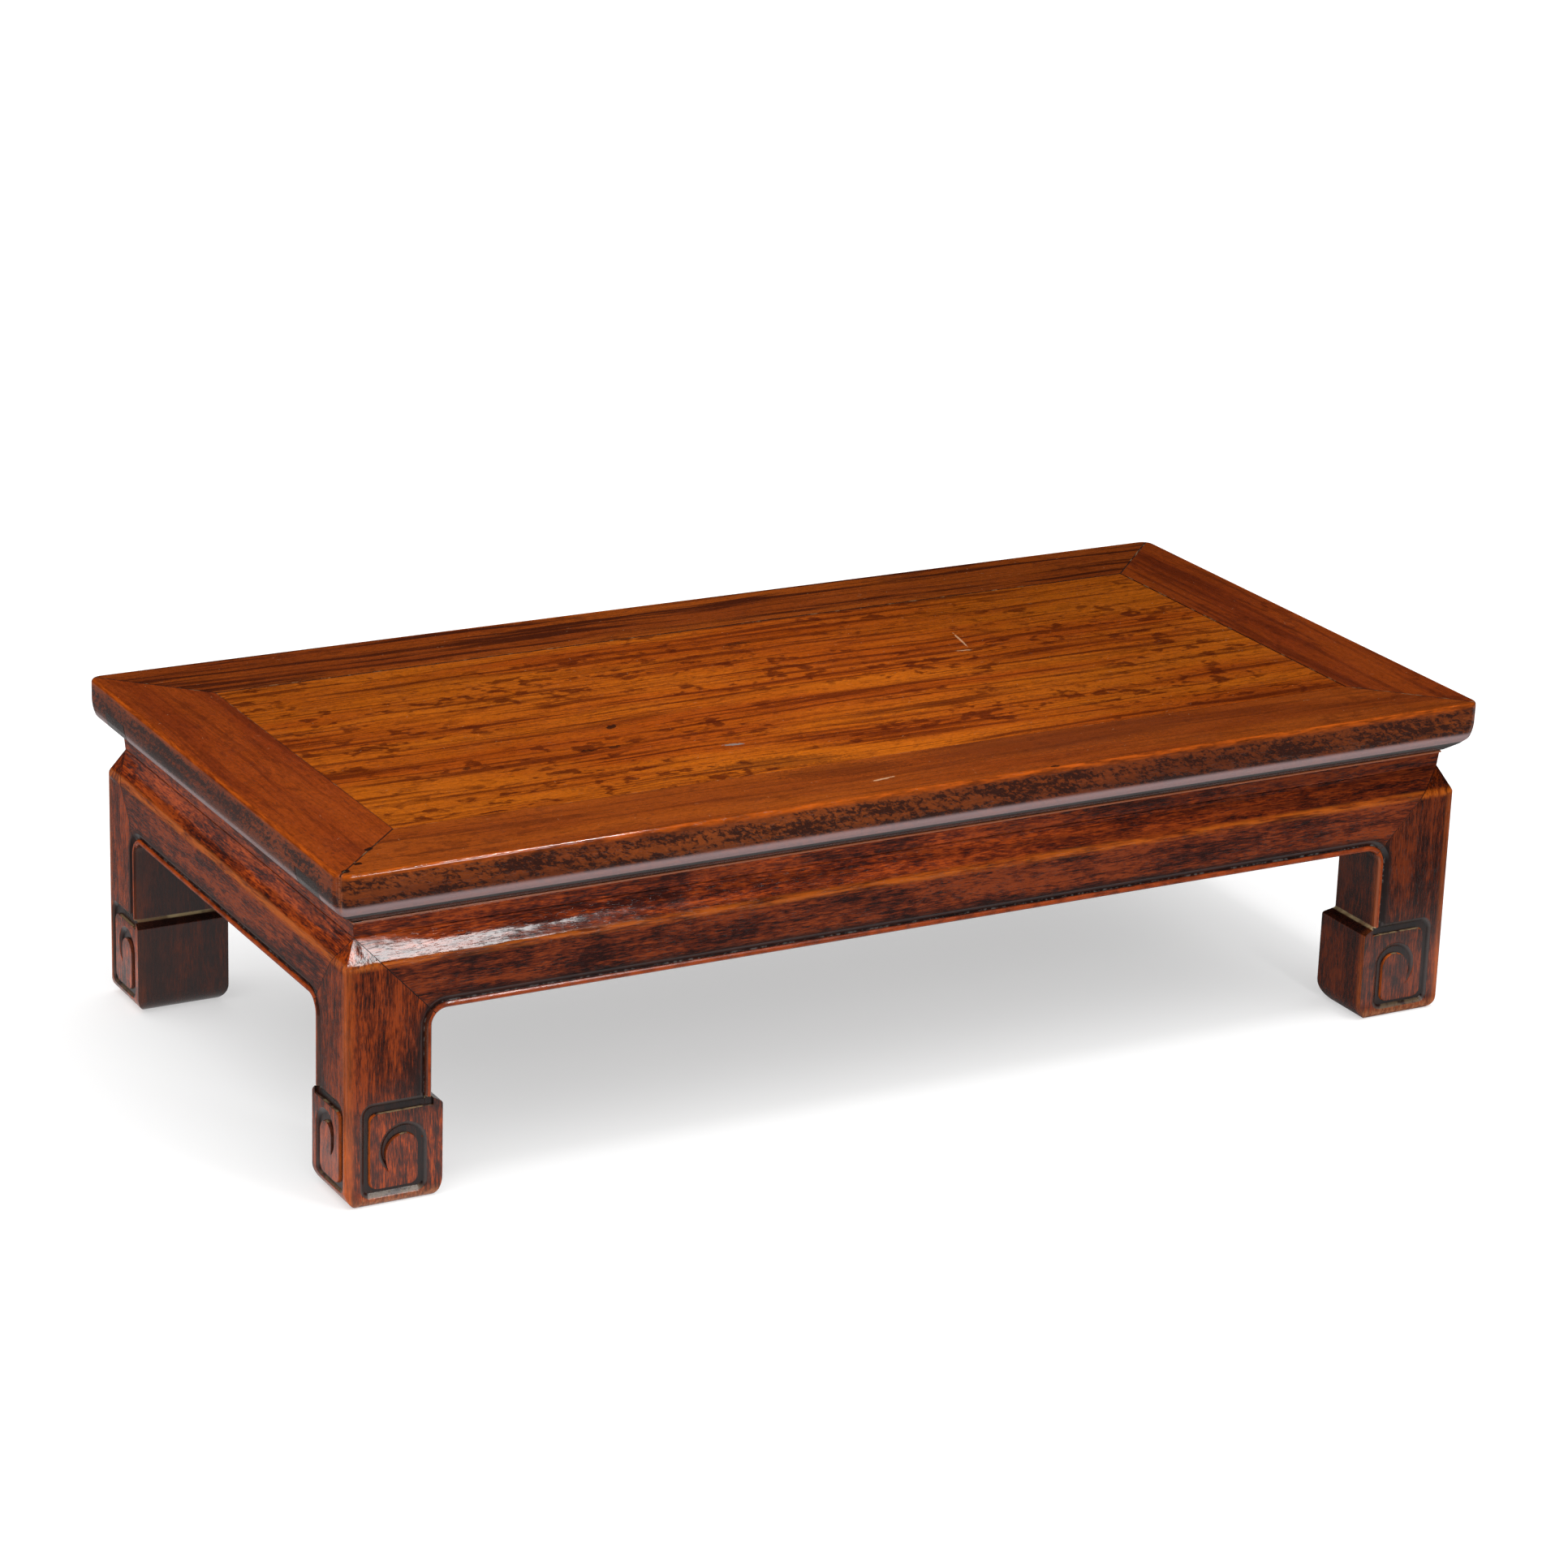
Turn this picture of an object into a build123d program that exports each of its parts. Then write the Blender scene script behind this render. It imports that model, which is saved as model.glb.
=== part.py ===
"""Low kang table with a waist, hoof feet and a floating-panel top.

The top is a mitred frame round one panel.  Each waist and apron is a single board.  Every leg
stands in the angle of two aprons: its sloping shoulders carry their mitred ends, and its two
tenons enter the top.

Millimetres, +X along the table, +Y to the back, +Z up.  The origin lies on the floor under the
centre of the top.  The joinery is drawn once, at the front left corner, and mirrored.
"""
from build123d import *

import os
from dataclasses import dataclass
from math import cos, radians, sin, sqrt, tan

# ---------------------------------------------------------------- overall size
table_length = 800.0
table_depth = 398.0
table_height = 213.0

# ---------------------------------------------------------------- top frame
rail_width = 62.0
rail_thickness = 37.0
top_arris = 2.0  # rounded upper edge of the frame
top_corner_radius = 4.0  # worn corners of the top, in plan
edge_flat = 12.0  # upright part of the edge moulding, arris included
edge_belly_radius = 30.0  # slow swelling under the upright part
edge_belly_turn = 21.5  # degrees that the swelling turns through
edge_turn_radius = 6.0  # quick turn below it, towards the cove
edge_turn = 28.5  # degrees that this turn adds
bead_line_height = 1.6  # raised line at the foot of the moulding
bead_line_setback = 0.8  # the line stands proud of the waist by this much
quirk_height = 0.7  # narrow sunk line above it
quirk_depth = 1.4

# ---------------------------------------------------------------- panel and battens
panel_thickness = 12.0
panel_drop = 0.3  # the panel lies this far below the frame
panel_gap = 0.3  # room for the panel to move, seen as a fine line
tongue_lip = 4.0  # wood of the rail above the panel's tongue
tongue_thickness = 5.0
groove_depth = 9.0
tongue_play = 1.0  # the tongue stops this far short of the groove's floor
batten_width = 30.0
batten_spacing = 226.0
batten_clear_of_rail = 3.0  # battens stop this far above the underside of the rails
dovetail_depth = 4.0
dovetail_slope = 3.0  # each side of the dovetail widens by this much
batten_tenon_length = 10.0
batten_tenon_thickness = 10.0
batten_tenon_width = 22.0

# ---------------------------------------------------------------- corner joint of the frame
tenon_start = 30.0  # from the long edge of the top to the near side of the through tenon
tenon_drop = 14.0  # from the top surface to the upper side of the tenon
tenon_thickness = 15.5
joint_gap = 0.1  # glue line round tenons, tongues and keys

# ---------------------------------------------------------------- waist and apron
waist_setback = 17.2  # from the edge of the top to the waist, at its top
waist_lean = 0.8  # the waist leans in by this much on its way down
waist_height = 9.0
apron_setback = 9.1  # from the edge of the top to the face of aprons and legs
apron_thickness = 24.0
apron_bottom = 118.0
shoulder_angle = 62.0  # slope of the shoulder below the waist
shoulder_radius = 14.0  # soft turn from shoulder to apron face
waist_tongue_start = 20.0
waist_tongue_thickness = 7.5
waist_tongue_height = 4.0
opening_radius = 10.0

# ---------------------------------------------------------------- beaded edge of aprons and legs
bead_width = 3.8
bead_fall = 1.3  # the bead drops by this much to either side
bead_flat = 1.7  # worn flat along its crest
bead_groove_width = 3.7
bead_groove_wall = 0.3  # run of the groove's steep side, next to the bead
bead_groove_depth = 2.0

# ---------------------------------------------------------------- legs
leg_width = 55.0  # on the long side of the table
leg_depth = 44.5  # on the short side of the table
leg_corner_radius = 2.5
foot_width = 62.0
foot_depth = 49.0
foot_height = 63.5  # where the foot meets the inner faces of the leg
foot_ledge_fall = 4.0
foot_lip_radius = 2.6
foot_cove_radius = 2.0

# The foot's faces turn under in arcs.  Each starts at its rise and meets the floor at its reach.
toe_outer_rise = 12.0  # short side face of the foot
toe_outer_reach = 7.5
toe_inner_rise = 12.0  # inner face opposite to it
toe_inner_reach = 5.5
toe_front_rise = 5.0  # long side face of the foot
toe_front_reach = 3.0
toe_rear_rise = 13.0  # inner face opposite to it
toe_rear_reach = 9.5

# ---------------------------------------------------------------- joint of leg and aprons
wedge_tenon_setback = 7.0  # from the apron face to the triangular tenon
wedge_tenon_thickness = 7.0
wedge_tenon_start = 18.0  # from the waist's mitre to the tenon's upright side, along the apron
wedge_tenon_end = 6.0  # from the tenon's point to the inner face of the leg
key_root = 10.0  # hanging key, a dovetail on the leg that the apron slides down over
key_tip = 14.0
key_depth = 6.0
key_top_gap = 9.0  # the key stops this far below the frame
long_tenon_length = 22.0
long_tenon_width = 12.0
long_tenon_thickness = 11.0
short_tenon_length = 6.5
short_tenon_size = 8.0
tenon_edge = 2.0  # wood left between the leg's tenons and its faces

# ---------------------------------------------------------------- scroll carved on the feet
scroll_depth = 1.8
scroll_outer_slope = 3.2  # run of the groove's long slope
scroll_inner_slope = 0.4  # run of its steep side
scroll_width = 6.6  # groove along the sides of the foot
scroll_top_width = 7.8  # groove above the raised field
scroll_toe_width = 5.8  # groove below it
scroll_top = 66.0
scroll_bottom = 5.2  # long side of the table
scroll_bottom_short = 7.5  # short side of the table
scroll_outer_margin = 9.0  # from the leg's outer corner to the groove, long side of the table
scroll_outer_margin_short = 3.6  # the same on the short side of the table
scroll_inner_margin = 9.4  # from the foot's inner edge to the groove, long side of the table
scroll_inner_margin_short = 5.0  # the same on the short side of the table
scroll_corner_radius = 9.0
scroll_island_radius = 5.1  # corners of the raised field inside the groove
scroll_toe_radius = 6.5
arch_top = 51.2  # highest point of the curl, long side of the table
arch_top_short = 54.2  # short side of the table
arch_near_radius = 15.0
arch_far_radius = 16.6  # long side of the table
arch_far_radius_short = 12.3  # short side of the table
curl_width = 8.0  # groove at the crown of the curl
hook_width = 4.6  # groove where the curl turns down
hook_drop = 1.0  # upright part of the hook, long side of the table
hook_drop_short = 4.5  # short side of the table
hook_angle = 54.0  # degrees of the hook's turn under that
hook_floor_share = 0.6  # of that angle, as far as the groove's floor runs
scroll_runout_depth = 1.6  # shallow end of the groove under the bead

overcut = 1.0  # cutting shapes run past the wood by this much

# ---------------------------------------------------------------- places worked out from these
rail_bottom = table_height - rail_thickness
apron_back = apron_setback + apron_thickness
waist_valley_inset = waist_setback + waist_lean
waist_valley_height = rail_bottom - waist_height
tenon_top = table_height - tenon_drop
tenon_bottom = tenon_top - tenon_thickness
tenon_width = rail_width - tenon_start
tongue_top = table_height - panel_drop - tongue_lip
tongue_bottom = tongue_top - tongue_thickness
panel_bottom = table_height - panel_drop - panel_thickness
groove_inset = rail_width - groove_depth
bead_end = scroll_top - scroll_top_width / 2  # the bead dies into the scroll's groove
half_length = table_length / 2
half_depth = table_depth / 2

corner = (-half_length, -half_depth, 0)  # front left corner of the top, in plan
long_side_of_mitre = Plane(origin=corner, z_dir=(1, -1, 0))


@dataclass
class Side:
    """One side of the table at its front left corner, with the leg and foot as seen there."""

    along: Vector  # from the corner along the side
    inward: Vector  # from the side into the table
    half: float  # half the length of the side
    post: float  # width of the leg
    foot: float  # width of the foot
    outer_toe: tuple  # reach and rise of the arc at the foot's outer edge
    inner_toe: tuple  # the same at its inner edge
    scroll_low: float  # lower edge of the scroll
    scroll_outer_margin: float  # from the leg's outer corner to the scroll
    scroll_inner_margin: float  # from the foot's inner edge to the scroll
    arch_top: float
    arch_far_radius: float
    hook_drop: float

    @property
    def inner(self):
        """From the corner to the inner face of the leg."""
        return apron_setback + self.post

    def at(self, inset):
        """View of the side, cut at this inset, with x along it from the corner and y upward."""
        origin = Vector(corner) + self.inward * inset
        return Plane(origin=origin, x_dir=self.along, z_dir=self.along.cross(Vector(0, 0, 1)))


long_side = Side(
    along=Vector(1, 0, 0),
    inward=Vector(0, 1, 0),
    half=half_length,
    post=leg_width,
    foot=foot_width,
    outer_toe=(toe_outer_reach, toe_outer_rise),
    inner_toe=(toe_inner_reach, toe_inner_rise),
    scroll_low=scroll_bottom,
    scroll_outer_margin=scroll_outer_margin,
    scroll_inner_margin=scroll_inner_margin,
    arch_top=arch_top,
    arch_far_radius=arch_far_radius,
    hook_drop=hook_drop,
)
short_side = Side(
    along=Vector(0, 1, 0),
    inward=Vector(1, 0, 0),
    half=half_depth,
    post=leg_depth,
    foot=foot_depth,
    outer_toe=(toe_front_reach, toe_front_rise),
    inner_toe=(toe_rear_reach, toe_rear_rise),
    scroll_low=scroll_bottom_short,
    scroll_outer_margin=scroll_outer_margin_short,
    scroll_inner_margin=scroll_inner_margin_short,
    arch_top=arch_top_short,
    arch_far_radius=arch_far_radius_short,
    hook_drop=hook_drop_short,
)


# ================================================================ sections
# All sections are drawn with x as the inset from the edge of the top and y as height.

# Edge of the top: upright face, swelling, quick turn, cove, sunk line and raised line.
bead_line_inset = waist_setback - bead_line_setback
moulding_foot = (bead_line_inset - bead_line_setback, rail_bottom + bead_line_height + quirk_height)
with BuildSketch() as rail_section:
    with BuildLine():
        Line((rail_width, table_height), (top_arris, table_height))
        RadiusArc((top_arris, table_height), (0, table_height - top_arris), -top_arris)
        Line((0, table_height - top_arris), (0, table_height - edge_flat))
        belly = JernArc((0, table_height - edge_flat), (0, -1), edge_belly_radius, edge_belly_turn)
        turn = JernArc(belly @ 1, belly % 1, edge_turn_radius, edge_turn)
        TangentArc(turn @ 1, moulding_foot, tangent=turn % 1)
        Polyline(
            moulding_foot,
            (bead_line_inset + quirk_depth, moulding_foot[1]),
            (bead_line_inset + quirk_depth, rail_bottom + bead_line_height),
            (bead_line_inset + bead_line_height / 2, rail_bottom + bead_line_height),
        )
        ThreePointArc(
            (bead_line_inset + bead_line_height / 2, rail_bottom + bead_line_height),
            (bead_line_inset, rail_bottom + bead_line_height / 2),
            (bead_line_inset + bead_line_height / 2, rail_bottom),
        )
        Polyline(
            (bead_line_inset + bead_line_height / 2, rail_bottom),
            (rail_width, rail_bottom),
            (rail_width, table_height),
        )
    make_face()

# What the panel's tongue and the waist's tongue take out of every rail.
with BuildSketch() as rail_grooves:
    with BuildLine():
        Polyline(
            (groove_inset, tongue_bottom - joint_gap),
            (rail_width + overcut, tongue_bottom - joint_gap),
            (rail_width + overcut, tongue_top + joint_gap),
            (groove_inset, tongue_top + joint_gap),
            close=True,
        )
    make_face()
    with BuildLine():
        Polyline(
            (waist_tongue_start - joint_gap, rail_bottom - overcut),
            (waist_tongue_start + waist_tongue_thickness + joint_gap, rail_bottom - overcut),
            (waist_tongue_start + waist_tongue_thickness + joint_gap, rail_bottom + waist_tongue_height),
            (waist_tongue_start - joint_gap, rail_bottom + waist_tongue_height),
            close=True,
        )
    make_face()

# Apron and waist in one board.  The shoulder falls from the waist's valley to the apron face.
shoulder_turn = radians(90 - shoulder_angle)
shoulder_arc_inset = apron_setback + shoulder_radius * (1 - cos(shoulder_turn))
shoulder_arc_height = waist_valley_height - (waist_valley_inset - shoulder_arc_inset) * tan(
    radians(shoulder_angle)
)
shoulder_foot_height = shoulder_arc_height - shoulder_radius * sin(shoulder_turn)
shoulder_foot = (apron_setback, shoulder_foot_height)
shoulder_start = (shoulder_arc_inset, shoulder_arc_height)
waist_valley = (waist_valley_inset, waist_valley_height)
with BuildSketch() as apron_section:
    with BuildLine():
        Line((apron_setback, apron_bottom - opening_radius), shoulder_foot)
        TangentArc(shoulder_foot, shoulder_start, tangent=(0, 1))
        Polyline(
            shoulder_start,
            waist_valley,
            (waist_setback, rail_bottom),
            (waist_tongue_start, rail_bottom),
            (waist_tongue_start, rail_bottom + waist_tongue_height - joint_gap),
            (waist_tongue_start + waist_tongue_thickness, rail_bottom + waist_tongue_height - joint_gap),
            (waist_tongue_start + waist_tongue_thickness, rail_bottom),
            (apron_back, rail_bottom),
            (apron_back, apron_bottom - opening_radius),
            (apron_setback, apron_bottom - opening_radius),
        )
    make_face()


# ================================================================ joint lines of leg and apron
def opening_corner(side):
    """Middle of the rounded corner between apron and leg, where the mitre ends."""
    reach = opening_radius * (1 - sqrt(0.5))
    return (side.inner + reach, apron_bottom - reach)


def mitre_slope(side):
    """Fall of the mitre per millimetre along the apron, from the waist's valley to the corner."""
    end = opening_corner(side)
    return (waist_valley_height - end[1]) / (end[0] - waist_valley_inset)


def mitre_height(side, inset):
    return waist_valley_height - mitre_slope(side) * (inset - waist_valley_inset)


def mitre_plane(side):
    """Plane of the leg's sloping shoulder, facing up and away from the leg."""
    top = side.at(0).from_local_coords(waist_valley)
    return Plane(origin=top, z_dir=side.along * mitre_slope(side) + Vector(0, 0, 1))


def opening_sketch(side):
    """Space between the legs under an apron, with its rounded corner."""
    reach = side.half + overcut
    with BuildSketch() as opening:
        with BuildLine():
            Polyline(
                (side.inner, 0),
                (side.inner, apron_bottom),
                (reach, apron_bottom),
                (reach, 0),
                close=True,
            )
        make_face()
        fillet(opening.vertices().sort_by_distance((side.inner, apron_bottom))[0], opening_radius)
    return opening.sketch


def wedge_tenon_sketch(side, gap):
    """Triangle under the mitre that enters the leg, or with a gap the mortise for it."""
    near = waist_valley_inset + wedge_tenon_start
    far = side.inner - wedge_tenon_end
    low = mitre_height(side, far)
    with BuildSketch() as wedge:
        with BuildLine():
            Polyline(
                (near - gap, mitre_height(side, near) + overcut),
                (near - gap, low - gap),
                (far, low - gap),
                (far, low + overcut),
                close=True,
            )
        make_face()
    return wedge.sketch


def hanging_key(side, low, gap):
    """Dovetail on the leg's core that the apron slides down over, or with a gap its slot."""
    middle = (apron_back + side.inner) / 2
    start = side.at(apron_back)
    with BuildPart() as key:
        with BuildSketch(Plane(origin=start.from_local_coords((0, low)), x_dir=side.along)):
            with BuildLine():
                root = key_root / 2 + gap
                tip = key_tip / 2 + gap
                outward = (key_depth + gap) * side.inward.dot(side.along.cross(Vector(0, 0, 1)))
                Polyline(
                    (middle - root, 0),
                    (middle - tip, outward),
                    (middle + tip, outward),
                    (middle + root, 0),
                    close=True,
                )
            make_face()
        extrude(amount=rail_bottom - key_top_gap + gap - low, dir=(0, 0, 1))
    return key.part


def bead_cutter(side):
    """Moulding cutter that runs up the leg's edge, round the corner and along the apron."""
    with BuildLine(side.at(apron_setback)) as edge:
        rise = Line((side.inner, bead_end), (side.inner, apron_bottom - opening_radius))
        turn = RadiusArc(rise @ 1, (side.inner + opening_radius, apron_bottom), opening_radius)
        Line(turn @ 1, (side.half, apron_bottom))
    # In the profile x runs from the edge onto the face and y into the wood.
    onto_face = side.along * -1
    start = Plane(origin=edge.line @ 0, x_dir=onto_face, z_dir=onto_face.cross(side.inward))
    with BuildPart() as cutter:
        with BuildSketch(start):
            with BuildLine():
                crest = Polyline(
                    (0, bead_fall),
                    ((bead_width - bead_flat) / 2, 0),
                    ((bead_width + bead_flat) / 2, 0),
                    (bead_width, bead_fall),
                )
                Polyline(
                    crest @ 1,
                    (bead_width + bead_groove_wall, bead_groove_depth),
                    (bead_width + bead_groove_width, 0),
                    (bead_width + bead_groove_width, -overcut),
                    (-overcut, -overcut),
                    (-overcut, bead_fall),
                    crest @ 0,
                )
            make_face()
        sweep(path=edge.line)
    return cutter.part


# ================================================================ top frame
with BuildPart() as tenon_end:
    # The end of the through tenon is planed to the same moulding as the short rail.
    with BuildSketch(long_side.at(tenon_start)):
        add(rail_section.sketch)
        with Locations((rail_width / 2, (tenon_top + tenon_bottom) / 2)):
            Rectangle(rail_width, tenon_thickness, mode=Mode.INTERSECT)
    extrude(amount=tenon_width, dir=long_side.inward)

with BuildPart() as tenon_mortise:
    with BuildSketch(long_side.at(tenon_start - joint_gap)):
        with Locations((rail_width / 2, (tenon_top + tenon_bottom) / 2)):
            Rectangle(rail_width + 2 * overcut, tenon_thickness + 2 * joint_gap)
    extrude(amount=tenon_width + joint_gap + overcut, dir=long_side.inward)

long_tenon_middle = (
    long_side.inner - tenon_edge - long_tenon_width / 2,
    apron_back + tenon_edge + long_tenon_thickness / 2,
)
short_tenon_middle = (
    apron_back + tenon_edge + short_tenon_size / 2,
    short_side.inner - tenon_edge - short_tenon_size / 2,
)


def leg_tenon(middle, width, thickness, length, gap):
    """Upright tenon on the core of the leg, or with a gap the mortise for it."""
    with BuildPart() as tenon:
        with BuildSketch(Plane.XY.offset(rail_bottom - gap)):
            with Locations((middle[0] - half_length, middle[1] - half_depth)):
                Rectangle(width + 2 * gap, thickness + 2 * gap)
        extrude(amount=length + 2 * gap)
    return tenon.part


batten_low = rail_bottom + batten_clear_of_rail
batten_middle_height = (batten_low + panel_bottom) / 2
batten_inset = half_length - batten_spacing / 2

# What the rounding of the top's front left corner takes away.
with BuildPart() as top_corner_waste:
    with BuildSketch(Plane.XY.offset(rail_bottom - overcut)):
        with Locations((top_corner_radius - half_length, top_corner_radius - half_depth)):
            Rectangle(
                top_corner_radius + overcut, top_corner_radius + overcut, align=(Align.MAX, Align.MAX)
            )
            Circle(top_corner_radius, mode=Mode.SUBTRACT)
    extrude(amount=rail_thickness + 2 * overcut)

with BuildPart() as top_rail_front:
    with BuildSketch(short_side.at(0)):
        add(rail_section.sketch)
        add(rail_grooves.sketch, mode=Mode.SUBTRACT)
    extrude(amount=half_length)
    split(bisect_by=long_side_of_mitre, keep=Keep.TOP)
    add(tenon_end.part)
    with BuildSketch(long_side.at(rail_width)):
        with Locations((batten_inset, batten_middle_height)):
            Rectangle(batten_tenon_width + 2 * joint_gap, batten_tenon_thickness + 2 * joint_gap)
    extrude(amount=batten_tenon_length + joint_gap, dir=long_side.inward * -1, mode=Mode.SUBTRACT)
    add(
        leg_tenon(long_tenon_middle, long_tenon_width, long_tenon_thickness, long_tenon_length, joint_gap),
        mode=Mode.SUBTRACT,
    )
    add(top_corner_waste.part, mode=Mode.SUBTRACT)
    mirror(about=Plane.YZ)

with BuildPart() as top_rail_left:
    with BuildSketch(long_side.at(0)):
        add(rail_section.sketch)
        add(rail_grooves.sketch, mode=Mode.SUBTRACT)
    extrude(amount=half_depth, dir=short_side.along)
    split(bisect_by=long_side_of_mitre, keep=Keep.BOTTOM)
    add(tenon_mortise.part, mode=Mode.SUBTRACT)
    add(
        leg_tenon(short_tenon_middle, short_tenon_size, short_tenon_size, short_tenon_length, joint_gap),
        mode=Mode.SUBTRACT,
    )
    add(top_corner_waste.part, mode=Mode.SUBTRACT)
    mirror(about=Plane.XZ)

with BuildPart() as top_rail_back:
    mirror(top_rail_front.part, about=Plane.XZ)

with BuildPart() as top_rail_right:
    mirror(top_rail_left.part, about=Plane.YZ)

# ================================================================ panel and battens
panel_length = table_length - 2 * (rail_width + panel_gap)
panel_depth = table_depth - 2 * (rail_width + panel_gap)
tongue_reach = groove_depth - tongue_play + panel_gap

with BuildPart() as batten_left:
    # The batten's dovetail slides into the panel from the back; its tenons enter the long rails.
    with BuildSketch(Plane.XZ):
        with Locations((-batten_spacing / 2, batten_middle_height)):
            Rectangle(batten_width, panel_bottom - batten_low)
        with BuildLine():
            Polyline(
                (-batten_spacing / 2 - batten_width / 2 + dovetail_slope, panel_bottom),
                (-batten_spacing / 2 - batten_width / 2, panel_bottom + dovetail_depth - joint_gap),
                (-batten_spacing / 2 + batten_width / 2, panel_bottom + dovetail_depth - joint_gap),
                (-batten_spacing / 2 + batten_width / 2 - dovetail_slope, panel_bottom),
                close=True,
            )
        make_face()
    extrude(amount=panel_depth / 2, both=True)
    with BuildSketch(Plane.XZ):
        with Locations((-batten_spacing / 2, batten_middle_height)):
            Rectangle(batten_tenon_width, batten_tenon_thickness)
    extrude(amount=half_depth - rail_width + batten_tenon_length, both=True)

with BuildPart() as batten_right:
    mirror(batten_left.part, about=Plane.YZ)

with BuildPart() as top_panel:
    with BuildSketch(Plane.XY.offset(panel_bottom)):
        Rectangle(panel_length, panel_depth)
    extrude(amount=panel_thickness)
    with BuildSketch(Plane.XY.offset(tongue_bottom)):
        Rectangle(panel_length + 2 * tongue_reach, panel_depth + 2 * tongue_reach)
    extrude(amount=tongue_thickness)
    with BuildSketch(Plane.XZ):
        for side in (-1, 1):
            middle = side * batten_spacing / 2
            with BuildLine():
                Polyline(
                    (middle - batten_width / 2 + dovetail_slope - joint_gap, panel_bottom),
                    (middle - batten_width / 2 - joint_gap, panel_bottom + dovetail_depth),
                    (middle + batten_width / 2 + joint_gap, panel_bottom + dovetail_depth),
                    (middle + batten_width / 2 - dovetail_slope + joint_gap, panel_bottom),
                    close=True,
                )
            make_face()
    extrude(amount=half_depth, both=True, mode=Mode.SUBTRACT)

# ================================================================ aprons with their waists
def half_apron(side, other_side, kept):
    """Half of an apron with its waist, from the corner of the table to the middle of the side."""
    with BuildPart() as apron:
        with BuildSketch(other_side.at(0)):
            add(apron_section.sketch)
        extrude(amount=side.half, dir=side.along)
        split(bisect_by=long_side_of_mitre, keep=kept)
        split(bisect_by=mitre_plane(side), keep=Keep.TOP)
        with BuildSketch(side.at(apron_setback + wedge_tenon_setback)):
            add(wedge_tenon_sketch(side, 0))
        extrude(amount=wedge_tenon_thickness, dir=side.inward)
        add(hanging_key(side, apron_bottom - opening_radius, joint_gap), mode=Mode.SUBTRACT)
        with BuildSketch(side.at(0)):
            add(opening_sketch(side))
        extrude(amount=apron_back + overcut, dir=side.inward, mode=Mode.SUBTRACT)
        add(bead_cutter(side), mode=Mode.SUBTRACT)
    return apron.part


with BuildPart() as apron_front:
    add(half_apron(long_side, short_side, Keep.TOP))
    mirror(about=Plane.YZ)

with BuildPart() as apron_left:
    add(half_apron(short_side, long_side, Keep.BOTTOM))
    mirror(about=Plane.XZ)

with BuildPart() as apron_rear:
    mirror(apron_front.part, about=Plane.XZ)

with BuildPart() as apron_right:
    mirror(apron_left.part, about=Plane.YZ)


# ================================================================ legs
def leg_outline(side):
    """One elevation of a leg: shoulder, post and hoof foot, x from the edge of the top."""
    foot_edge = apron_setback + side.foot
    ledge = (side.inner, foot_height)
    lip = (foot_edge, foot_height - foot_ledge_fall)
    with BuildSketch() as outline:
        with BuildLine():
            Polyline((side.inner, rail_bottom), ledge, lip, (foot_edge, side.inner_toe[1]))
            TangentArc(
                (foot_edge, side.inner_toe[1]),
                (foot_edge - side.inner_toe[0], 0),
                tangent=(0, -1),
            )
            Line((foot_edge - side.inner_toe[0], 0), (apron_setback + side.outer_toe[0], 0))
            TangentArc(
                (apron_setback, side.outer_toe[1]),
                (apron_setback + side.outer_toe[0], 0),
                tangent=(0, -1),
            )
            Line((apron_setback, side.outer_toe[1]), shoulder_foot)
            TangentArc(shoulder_foot, shoulder_start, tangent=(0, 1))
            Polyline(
                shoulder_start,
                waist_valley,
                (waist_valley_inset, rail_bottom),
                (side.inner, rail_bottom),
            )
        make_face()
        for spot, radius in ((ledge, foot_cove_radius), (lip, foot_lip_radius)):
            fillet(outline.vertices().sort_by_distance(spot)[0], radius)
    return outline.sketch


def spandrel_sketch(side):
    """The leg's half of the rounded corner under the apron."""
    end = opening_corner(side)
    low = (side.inner, apron_bottom - opening_radius)
    behind = side.inner - overcut
    with BuildSketch() as spandrel:
        with BuildLine():
            Polyline(end, (behind, mitre_height(side, behind)), (behind, low[1]), low)
            TangentArc(low, end, tangent=(0, 1))
        make_face()
    return spandrel.sketch


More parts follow.
